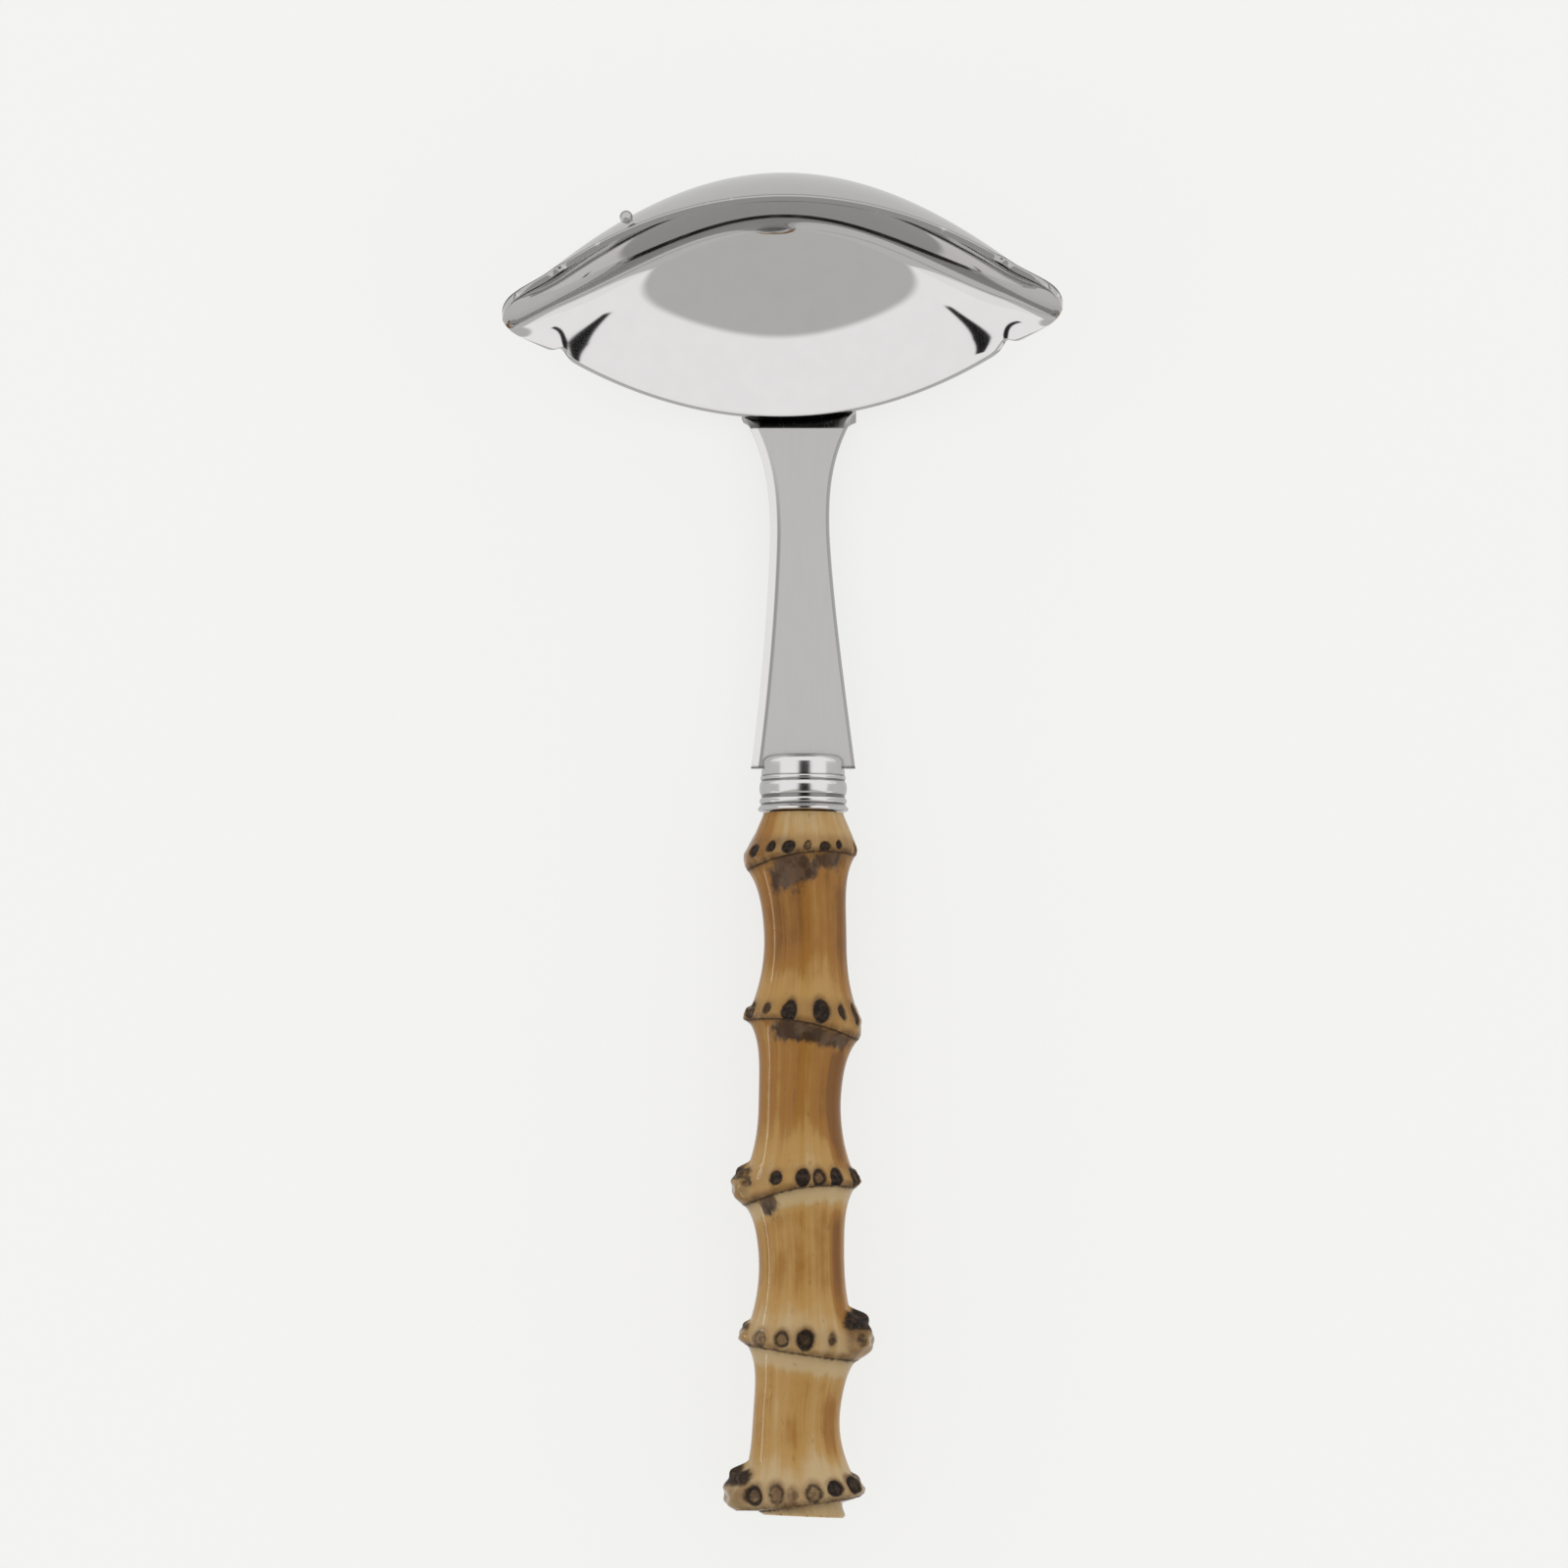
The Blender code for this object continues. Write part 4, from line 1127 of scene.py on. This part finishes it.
def leave_to_mirrors(card, material, share, shader):
    """Shows a shader on a card by a share, clear for the rest, to mirrors only: no light and no shadow."""
    tree = material.node_tree
    show(tree, share, tree.nodes.new("ShaderNodeBsdfTransparent").outputs[0], shader.outputs[0])
    card.data.materials.append(material)
    card.visible_camera = False
    card.visible_diffuse = False
    card.visible_shadow = False


def make_flag():
    """A black card with soft sides over ferrule and handle, which only mirrors close below it see."""
    corners = np.array([(-1, 0, 0), (1, 0, 0), (1, 1, 0), (-1, 1, 0)]) * FLAG_SIZE + FLAG_PLACE
    flag = add_mesh("flag", corners, [(0, 1, 2, 3)])
    material, tree, shader = new_material("black_card")
    set_matt(shader, TENT_GAP)
    aside = maths(tree, "SUBTRACT", position(tree)[0], FLAG_PLACE[0])
    soft = rise(tree, maths(tree, "ABSOLUTE", aside), *FLAG_SOFT)
    leave_to_mirrors(flag, material, times(tree, close_by(tree, FLAG_REACH), soft), shader)


def make_side_card(card):
    """An upright glowing card beside the ladle, which only mirrors close to it see."""
    size = (1, card.end - card.start, card.high - card.low)
    corners = np.array([(0, 0, 0), (0, 1, 0), (0, 1, 1), (0, 0, 1)]) * size + (card.aside, card.start, card.low)
    made = add_mesh(card.name, placed(corners, LADLE), [(0, 1, 2, 3)])
    material, tree, _ = new_material(card.name)
    glow = tree.nodes.new("ShaderNodeEmission")
    glow.inputs["Strength"].default_value = card.bright
    leave_to_mirrors(made, material, close_by(tree, SIDE_REACH), glow)


def by_side(tree, x, pair):
    """A value that grows from left to right."""
    middle, growth = pair
    return maths(tree, "MULTIPLY_ADD", x, growth, middle)


def make_tent():
    """A white tent, open and grey on the side of the handle, with a dark gap low on the left and right."""
    world = bpy.data.worlds.new("tent")
    bpy.context.scene.world = world
    world.use_nodes = True
    tree = world.node_tree
    split = tree.nodes.new("ShaderNodeSeparateXYZ")
    tree.links.new(tree.nodes.new("ShaderNodeTexCoord").outputs["Generated"], split.inputs[0])
    x, y, z = split.outputs
    height = times(tree, z, OPENING_HEIGHT)
    reach = maths(tree, "ADD", times(tree, x, x), times(tree, height, height))
    lean = times(tree, z, OPENING_LEAN)
    edge = maths(tree, "MULTIPLY_ADD", maths(tree, "SQRT", reach), -OPENING_SPREAD, lean)
    opening = rise(tree, maths(tree, "SUBTRACT", edge, y), -OPENING_SOFT, OPENING_SOFT)
    tone = mix(tree, opening, TENT_WHITE, TENT_GREY)
    turned = maths(tree, "ADD", y, GAP_TURN)
    curve = times(tree, by_side(tree, x, GAP_CURVE), turned, turned)
    middle = maths(tree, "SUBTRACT", by_side(tree, x, GAP_HEIGHT), curve)
    off = maths(tree, "ABSOLUTE", maths(tree, "SUBTRACT", z, middle))
    spare = maths(tree, "SUBTRACT", off, GAP_HALF)
    spare = maths(tree, "MULTIPLY_ADD", maths(tree, "ABSOLUTE", turned), GAP_TAPER, spare)
    past_stop = maths(tree, "SUBTRACT", y, by_side(tree, x, GAP_STOP))
    ends = times(tree, rise(tree, y, *GAP_START), rise(tree, past_stop, GAP_SOFT, -GAP_SOFT))
    tone = mix(tree, times(tree, rise(tree, spare, GAP_SOFT, -GAP_SOFT), ends), tone, TENT_GAP)
    path = tree.nodes.new("ShaderNodeLightPath")
    tone = mix(tree, path.outputs["Is Camera Ray"], tone, TABLE_PALE)
    tree.links.new(tone, tree.nodes["Background"].inputs["Color"])


# Finishes

STEEL = (0.58, 0.575, 0.57)
NECK_TONE = (0.388, 0.385, 0.379)
# Near black: painted shade on the neck, and the dark in the ferrule's grooves
NEAR_BLACK = (0.03, 0.029, 0.028)
# Painted dark reflection on the bowl's rim edge
EDGE_REFLECTION_TONE = (0.36, 0.357, 0.353)
STUD_TONE = (0.40, 0.396, 0.39)
# Painted shade line on the neck
SHADE_LINE_TONE = (0.2, 0.198, 0.195)
CANE = ((0.165, 0.072, 0.020), (0.255, 0.120, 0.028), (0.352, 0.208, 0.067), (0.405, 0.297, 0.155))
STAIN_TONE = (0.042, 0.025, 0.016)
STAIN_THIN = (0.090, 0.058, 0.037)
HALO_TONE = (0.105, 0.052, 0.020)
RING_TONE = (0.110, 0.062, 0.030)
BURN_TONE = (0.014, 0.011, 0.009)
CHAR_TONE = (0.045, 0.029, 0.019)
CUT_TONE = (0.55, 0.42, 0.24)
PORE_TONE = (0.22, 0.13, 0.06)
RESIN_DEEP = (0.30, 0.17, 0.06)
RESIN_CLEAR = (0.48, 0.30, 0.12)

# Rubbing marks of the steels: roughness, its spread, and waves a metre along each axis
BOWL_RUB = (0.045, 0.03, (300, 300, 300))
NECK_RUB = (0.30, 0.03, (3000, 60, 3000))
FERRULE_RUB = (0.19, 0.06, (20, 5000, 20))
STUD_RUB = (0.06, 0.02, (600, 600, 600))
RUB_DETAIL = 3.0
RUB_TONES = (0.97, 1.03)
GLINT_RANGE = (0.6, 0.8)
SHADE_STREAK_RANGE = (0.85, 0.55)
SHADE_LINE_DARK = 0.8
GROOVE_DARK = 0.7
BEVEL_SMOOTHER = -0.2

# Noise: waves a metre along each axis, and detail
GLINTS = ((500, 500, 500), 2.0)
SHADE_STREAKS = ((5200, 500, 500), 3.0)
STREAK = ((900, 28, 900), 4.0)
FIBRE = ((4800, 110, 4800), 3.0)
PATCH = ((620, 420, 620), 5.0)
PIT = ((2100, 1900, 2100), 3.0)
BLOT = ((950, 520, 950), 6.0)
CLOUD = ((600, 600, 600), 3.0)

# What noise does to the bamboo: a spread, a spread and a middle, or the range over which a mark comes in
TINT_SPREADS = (0.6, 0.22, 0.25)
STAIN_SPREAD = 1.3
STAIN_RANGE = (0.15, 0.6)
STAIN_STREAKS = (0.5, 0.95)
STAIN_PATCHES = (0.42, 0.62)
HALO_PATCHES = (2.0, 0.75)
RING_PITS = (0.35, 0.6)
RING_SHARE = (0.4, 0.8)
BURN_SPREAD = 0.7
BURN_RANGE = (0.15, 0.75)
CHAR_PITS = (0.4, 0.7)
PORE_PITS = (0.55, 0.7)

# Lacquer and bumps of the bamboo, and the cement
CANE_ROUGHNESS = 0.42
BURN_ROUGHER = 0.3
BURN_DULLER = -0.6
LACQUER_ROUGHNESS = 0.05
LACQUER_IOR = 1.22
BUMP_STRENGTH = 0.5
BUMP_HEIGHT = 0.12 * MM
PIT_BUMP = (1.5, 0.1)
FIBRE_BUMP = 0.35
RESIN_ROUGHNESS = 0.3


def shade(colour, share):
    return tuple(share * part for part in colour)


def steel(name, tone, roughness, spread, scale):
    """Polished steel with rubbing marks of a given scale."""
    material, tree, shader = new_material(name)
    rub = noise(tree, own_place(tree), scale, RUB_DETAIL)
    shader.inputs["Metallic"].default_value = 1.0
    connect(tree, shader.inputs["Roughness"], waver(tree, rub, spread, roughness))
    colour = mix(tree, rub, *(shade(tone, share) for share in RUB_TONES))
    connect(tree, shader.inputs["Base Color"], colour)
    return material, tree, shader, colour


def bowl_steel():
    """Mirror-polished steel, with a painted dark reflection on the sheet's cut edge, broken by painted glints.
    """
    material, tree, shader, colour = steel("bowl_steel", STEEL, *BOWL_RUB)
    glints = rise(tree, noise(tree, own_place(tree), *GLINTS), *GLINT_RANGE)
    edge_reflection = mix(tree, glints, EDGE_REFLECTION_TONE, STEEL)
    connect(tree, shader.inputs["Base Color"], mix(tree, attribute(tree, "cut"), colour, edge_reflection))
    return material


def neck_steel():
    """Satin steel with painted shade along the left bevel, on the bend under the bowl and at the shoulders."""
    material, tree, shader, colour = steel("neck_steel", NECK_TONE, *NECK_RUB)
    bevel = attribute(tree, "bevel")
    rough = maths(tree, "MULTIPLY_ADD", bevel, BEVEL_SMOOTHER, NECK_RUB[0])
    connect(tree, shader.inputs["Roughness"], rough)
    colour = mix(tree, bevel, colour, STEEL)
    # Painted shade line along the left bevel
    colour = mix(tree, times(tree, attribute(tree, "line"), SHADE_LINE_DARK), colour, SHADE_LINE_TONE)
    # Painted shade on the bend under the bowl and at the shoulders, in streaks
    shade_streaks = rise(tree, noise(tree, own_place(tree), *SHADE_STREAKS), *SHADE_STREAK_RANGE)
    colour = mix(tree, times(tree, attribute(tree, "painted_shade"), shade_streaks), colour, NEAR_BLACK)
    connect(tree, shader.inputs["Base Color"], colour)
    return material


def ferrule_steel():
    """Turned steel, dark in its grooves."""
    material, tree, shader, colour = steel("ferrule_steel", STEEL, *FERRULE_RUB)
    dark = times(tree, attribute(tree, "groove"), GROOVE_DARK)
    connect(tree, shader.inputs["Base Color"], mix(tree, dark, colour, NEAR_BLACK))
    return material


def bamboo():
    """Bamboo root under clear lacquer: streaked cane, with the marks that are painted on the points."""
    material, tree, shader = new_material("lacquered_bamboo")
    grain = attribute(tree, "grain", "Vector")
    streak, fibre, patch, pit, blot = (noise(tree, grain, *kind) for kind in (STREAK, FIBRE, PATCH, PIT, BLOT))
    tint = attribute(tree, "tint")
    for kind, spread in zip((streak, fibre, patch), TINT_SPREADS):
        tint = maths(tree, "ADD", tint, waver(tree, kind, spread, 0.0))
    colour = CANE[0]
    for step, tone in enumerate(CANE[1:]):
        start = step / (len(CANE) - 1)
        colour = mix(tree, rise(tree, tint, start, start + 1 / (len(CANE) - 1)), colour, tone)
    ragged = maths(tree, "ADD", attribute(tree, "stain"), waver(tree, blot, STAIN_SPREAD, 0.0))
    stained = times(tree, rise(tree, ragged, *STAIN_RANGE), waver(tree, streak, *STAIN_STREAKS))
    stain = mix(tree, rise(tree, patch, *STAIN_PATCHES), STAIN_TONE, STAIN_THIN)
    colour = mix(tree, stained, colour, stain)
    around = times(tree, attribute(tree, "halo"), waver(tree, patch, *HALO_PATCHES))
    colour = mix(tree, around, colour, HALO_TONE)
    pitted = waver(tree, rise(tree, pit, *RING_PITS), *RING_SHARE)
    colour = mix(tree, times(tree, attribute(tree, "ring"), pitted), colour, RING_TONE)
    burn = maths(tree, "ADD", attribute(tree, "burn"), waver(tree, pit, BURN_SPREAD, 0.0))
    burn = rise(tree, burn, *BURN_RANGE)
    colour = mix(tree, burn, colour, mix(tree, rise(tree, pit, *CHAR_PITS), BURN_TONE, CHAR_TONE))
    wood = mix(tree, rise(tree, pit, *PORE_PITS), CUT_TONE, PORE_TONE)
    connect(tree, shader.inputs["Base Color"], mix(tree, attribute(tree, "cut"), colour, wood))
    rough = maths(tree, "MULTIPLY_ADD", burn, BURN_ROUGHER, CANE_ROUGHNESS)
    connect(tree, shader.inputs["Roughness"], rough)
    connect(tree, shader.inputs["Coat Weight"], maths(tree, "MULTIPLY_ADD", burn, BURN_DULLER, 1.0))
    shader.inputs["Coat Roughness"].default_value = LACQUER_ROUGHNESS
    shader.inputs["Coat IOR"].default_value = LACQUER_IOR
    shader.inputs["Specular IOR Level"].default_value = 0.0
    bump = tree.nodes.new("ShaderNodeBump")
    bump.inputs["Strength"].default_value = BUMP_STRENGTH
    bump.inputs["Distance"].default_value = BUMP_HEIGHT
    pits = times(tree, pit, maths(tree, "MULTIPLY_ADD", burn, *PIT_BUMP))
    connect(tree, bump.inputs["Height"], maths(tree, "MULTIPLY_ADD", fibre, FIBRE_BUMP, pits))
    tree.links.new(bump.outputs["Normal"], shader.inputs["Normal"])
    return material


def resin():
    """Cloudy amber cement."""
    material, tree, shader = new_material("resin")
    cloud = noise(tree, own_place(tree), *CLOUD)
    connect(tree, shader.inputs["Base Color"], mix(tree, cloud, RESIN_DEEP, RESIN_CLEAR))
    shader.inputs["Roughness"].default_value = RESIN_ROUGHNESS
    return material


def make_camera():
    data = bpy.data.cameras.new("camera")
    data.sensor_width = SENSOR_WIDTH
    data.lens = SENSOR_WIDTH * (CAMERA_PLACE[2] - FRAME_HEIGHT) / FRAME_WIDTH
    data.clip_end = CAMERA_RANGE
    camera = bpy.data.objects.new("camera", data)
    camera.location = CAMERA_PLACE
    bpy.context.scene.collection.objects.link(camera)
    bpy.context.scene.camera = camera


def main():
    make_bowl(bowl_steel())
    make_neck(neck_steel())
    make_ferrule(ferrule_steel())
    make_handle(bamboo())
    make_stud(steel("stud_steel", STUD_TONE, *STUD_RUB)[0])
    plug = frame["nodes"]["tang_resin"]
    plug.data.materials.clear()
    plug.data.materials.append(resin())
    make_table()
    make_flag()
    for card in SIDE_CARDS:
        make_side_card(card)
    make_tent()
    make_camera()
    bpy.context.scene.view_settings.view_transform = "Standard"


main()
